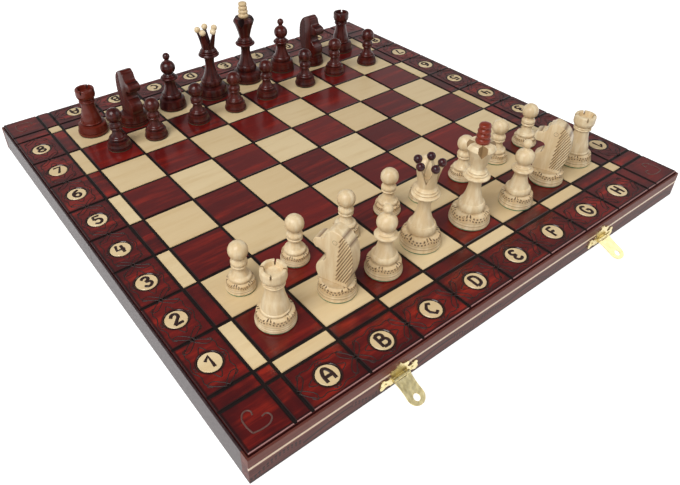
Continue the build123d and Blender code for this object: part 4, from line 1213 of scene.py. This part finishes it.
class OBJECT_OT_chess_box_scrolls(bpy.types.Operator):
    """Burn the interlaced scrolls of the outer band and the corner hearts"""
    bl_idname = "object.chess_box_scrolls"
    bl_label = "Burn scrolls"

    def execute(self, context):
        settings = context.scene.chess_box_ornament
        height = BOARD_TOP * MM - 0.35 * settings.line
        dark = burnt_lines("burnt scroll", (0.012, 0.004, 0.003), (0.030, 0.010, 0.008))
        # the hearts' lighter brown is a painted glint on their burnt lines
        glint_lines = burnt_lines("heart lines with painted glint", (0.060, 0.025, 0.020), (0.16, 0.075, 0.060))
        curves = {half: new_curve(half + "_scrolls", settings.line, dark)
                  for half in ("front", "rear")}
        hearts = {half: new_curve(half + "_hearts", 1.5 * settings.line, glint_lines)
                  for half in ("front", "rear")}
        # a strand runs past a disc from one border of its cell to the next
        strand = [(-26.4, 1.0), (-22.0, 7.5), (-15.5, 13.0), (-9.0, 12.2), (0, 15.2),
                  (9.0, 12.2), (15.5, 13.0), (22.0, 7.5), (26.4, 1.0)]
        hook = [(-26.4, -2.0), (-20.5, 3.0), (-16.6, 9.0), (-18.4, 12.6), (-21.4, 9.6)]
        petal = [(-11.4, -3.4), (-14.6, -1.8), (-16.8, 0.0), (-14.6, 1.8), (-11.4, 3.4)]
        tip = [(-3.0, 11.4), (-1.2, 13.2), (0, 11.8), (1.2, 13.2), (3.0, 11.4)]
        for k in range(8):
            along = (k - 3.5) * SQUARE
            for middle, turn in (((along, -BAND_MIDDLE), 0), ((along, BAND_MIDDLE), 180),
                                 ((-BAND_MIDDLE, along), 90), ((BAND_MIDDLE, along), 270)):
                curve = curves[half_of(middle[1])]
                for flip in (1, -1):
                    for shape, wide, high in ((strand, 1, flip), (tip, 1, flip),
                                              (petal, flip, 1), (hook, 1, flip),
                                              (hook, -1, flip)):
                        add_stroke(curve, scaled(shape, wide, high), middle, turn, height)
        heart = [(3.2, 3.4), (5.8, 6.4), (9.6, 5.2), (10.2, 0.4), (6.0, -5.6), (0, -10.2)]
        for x_side in (-1, 1):
            for y_side in (-1, 1):
                middle = (x_side * BAND_MIDDLE, y_side * BAND_MIDDLE)
                turn = math.degrees(math.atan2(-y_side, -x_side)) - 90
                for flip in (1, -1):
                    add_stroke(hearts[half_of(middle[1])], scaled(heart, flip, 1), middle,
                               turn, height)
        for half in ("front", "rear"):
            hand_over(curves[half], half + "_scrolls", half + "_half")
            hand_over(hearts[half], half + "_hearts", half + "_half")
        return {"FINISHED"}


# ---------------------------------------------------------------- CAD nodes' looks
class OBJECT_OT_chess_box_woods(bpy.types.Operator):
    """Give every CAD part of the box its wood, felt or brass"""
    bl_idname = "object.chess_box_woods"
    bl_label = "Stain and polish the box"

    def execute(self, context):
        settings = context.scene.chess_box_woods
        # painted shade and grey reflection: the end rails get a darker, greyer copy of the rail
        # wood
        shaded_end_wood = rail_wood("end rails in painted shade", settings.end_rail_shade_low, settings.end_rail_shade_high, 0.40)
        looks = {
            "pale_tiles": pale_tiles(settings.inlay_low, settings.inlay_high),
            "dark_tiles": red_tiles(settings.red_low, settings.red_high, settings.red_streak),
            "panel": panel_wood(),
            "long_rail": rail_wood("long rail", settings.long_rail_low, settings.long_rail_high,
                                   0.10),
            "end_rails": shaded_end_wood,
            "hinge_rail": shaded_end_wood,
            "edge_stripe": plain_wood("pale stripe", (0.80, 0.58, 0.38), (0.90, 0.70, 0.50),
                                      0.4, 0.3),
            "dividers": plain_wood("bare wood", (0.58, 0.40, 0.22), (0.72, 0.54, 0.33), 0.6),
            "felt_lining": felt_cloth("felt lining", (0.02, 0.09, 0.045), (0.05, 0.17, 0.09)),
            "brass": brass_metal(settings.brass_low, settings.brass_high),
        }
        for name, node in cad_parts.items():
            colour = name.split("_")[0]
            if colour in ("white", "black"):
                give(node, looks["dividers"])
                continue
            key = name.split("_", 1)[1] if colour in ("front", "rear") else name
            give(node, looks.get(key, looks["brass"]))
        return {"FINISHED"}


# ---------------------------------------------------------------- the stage
def area_lamp(name, power):
    """A square lamp that points at the middle of the board."""
    place, size = LAMPS[name]
    data = bpy.data.lights.new(name, "AREA")
    data.size = size * MM
    data.energy = power
    lamp = bpy.data.objects.new(name, data)
    bpy.context.collection.objects.link(lamp)
    lamp.location = Vector(place) * MM
    lamp.rotation_euler = (-Vector(place)).to_track_quat("-Z", "Y").to_euler()


def white_floor():
    """Shines white to the eye and takes the object's shadow."""
    shader = Shader("white floor")
    rays = shader.node("ShaderNodeLightPath").outputs
    seen = shader.larger(rays["Is Camera Ray"],
                         shader.larger(rays["Is Glossy Ray"], rays["Is Transmission Ray"]))
    glow = shader.node("ShaderNodeEmission")
    shader.feed(glow.inputs["Color"], (1.0, 1.0, 1.0))
    shader.feed(glow.inputs["Strength"], shader.times(seen, 0.78))
    matt = shader.node("ShaderNodeBsdfDiffuse")
    shader.feed(matt.inputs["Color"], (0.62, 0.61, 0.60))
    both = shader.node("ShaderNodeAddShader")
    shader.feed(both.inputs[0], glow.outputs[0])
    shader.feed(both.inputs[1], matt.outputs[0])
    out = shader.node("ShaderNodeOutputMaterial")
    shader.feed(out.inputs["Surface"], both.outputs[0])
    return shader.owner


def studio_world():
    """White behind the object, and a light that fades from the horizon to the zenith."""
    shader = Shader("studio", is_world=True)
    fade = shader.node("ShaderNodeValToRGB")
    shader.feed(fade.inputs[0], shader.split(
        shader.node("ShaderNodeTexCoord").outputs["Generated"])[2])
    horizon, zenith = fade.color_ramp.elements
    horizon.position, horizon.color = 0.05, (1.0, 0.99, 0.98, 1.0)
    zenith.position, zenith.color = 0.95, (0.05, 0.05, 0.06, 1.0)
    choose = shader.node("ShaderNodeMixShader")
    shader.feed(choose.inputs[0], shader.node("ShaderNodeLightPath").outputs["Is Camera Ray"])
    for entry, colour, strength in ((1, fade.outputs[0], 0.62), (2, (1.0, 1.0, 1.0), 1.0)):
        background = shader.node("ShaderNodeBackground")
        shader.feed(background.inputs["Color"], colour)
        shader.feed(background.inputs["Strength"], strength)
        shader.feed(choose.inputs[entry], background.outputs[0])
    out = shader.node("ShaderNodeOutputWorld")
    shader.feed(out.inputs["Surface"], choose.outputs[0])
    return shader.owner


def photo_camera(lens):
    data = bpy.data.cameras.new("photograph")
    data.sensor_fit = "HORIZONTAL"
    data.sensor_width = 36.0
    data.lens = lens
    data.shift_x = (PHOTO_SIZE[0] / 2 - PHOTO_MIDDLE[0]) / PHOTO_SIZE[0]
    data.shift_y = (PHOTO_MIDDLE[1] - PHOTO_SIZE[1] / 2) / PHOTO_SIZE[0]
    data.clip_start = 0.01
    camera = bpy.data.objects.new("photograph", data)
    bpy.context.collection.objects.link(camera)
    axes = Matrix((CAMERA_RIGHT, CAMERA_UP, CAMERA_BACK)).transposed().to_4x4()
    camera.matrix_world = Matrix.Translation(Vector(CAMERA_PLACE) * MM) @ axes
    return camera


class OBJECT_OT_chess_box_stage(bpy.types.Operator):
    """Set up the floor, the world, the lamps and the photograph's camera"""
    bl_idname = "object.chess_box_stage"
    bl_label = "Set the stage"

    def execute(self, context):
        settings = context.scene.chess_box_stage
        deselect_all()
        bpy.ops.mesh.primitive_plane_add(size=FLOOR_SIZE * MM, location=(0, 0, FLOOR_LEVEL * MM))
        floor = context.object
        floor.name = "studio_floor"
        bpy.ops.object.transform_apply(location=True)
        give(floor, white_floor())
        context.scene.world = studio_world()
        area_lamp("key", settings.key_power)
        area_lamp("fill", settings.fill_power)
        context.scene.camera = photo_camera(settings.lens)
        context.scene.view_settings.view_transform = "Standard"
        return {"FINISHED"}


class VIEW3D_PT_chess_box(bpy.types.Panel):
    """Buttons and settings of the chess box"""
    bl_label = "Chess box"
    bl_idname = "VIEW3D_PT_chess_box"
    bl_space_type = "VIEW_3D"
    bl_region_type = "UI"
    bl_category = "Chess box"

    def draw(self, context):
        layout = self.layout
        for key, group in GROUPS.items():
            box = layout.box()
            for name in group.__annotations__:
                box.prop(getattr(context.scene, key), name)
        for operator in OPERATORS:
            layout.operator(operator.bl_idname)


OPERATORS = (OBJECT_OT_chess_box_woods, OBJECT_OT_chess_box_pawns, OBJECT_OT_chess_box_rooks,
             OBJECT_OT_chess_box_knights, OBJECT_OT_chess_box_bishops,
             OBJECT_OT_chess_box_queens, OBJECT_OT_chess_box_kings, OBJECT_OT_chess_box_signs,
             OBJECT_OT_chess_box_scrolls, OBJECT_OT_chess_box_stage)
GROUPS = {"chess_box_woods": ChessBoxWoodSettings, "chess_box_men": ChessBoxMenSettings,
          "chess_box_ornament": ChessBoxOrnamentSettings,
          "chess_box_stage": ChessBoxStageSettings}


def register():
    for item in (*GROUPS.values(), *OPERATORS, VIEW3D_PT_chess_box):
        bpy.utils.register_class(item)
    for key, group in GROUPS.items():
        setattr(bpy.types.Scene, key, bpy.props.PointerProperty(type=group))


def unregister():
    for key in GROUPS:
        delattr(bpy.types.Scene, key)
    for item in reversed((*GROUPS.values(), *OPERATORS, VIEW3D_PT_chess_box)):
        bpy.utils.unregister_class(item)


def main():
    register()
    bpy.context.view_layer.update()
    bpy.ops.object.chess_box_woods()
    bpy.ops.object.chess_box_pawns()
    bpy.ops.object.chess_box_rooks()
    bpy.ops.object.chess_box_knights()
    bpy.ops.object.chess_box_bishops()
    bpy.ops.object.chess_box_queens()
    bpy.ops.object.chess_box_kings()
    bpy.ops.object.chess_box_signs()
    bpy.ops.object.chess_box_scrolls()
    bpy.ops.object.chess_box_stage()


if __name__ == "__main__":
    main()
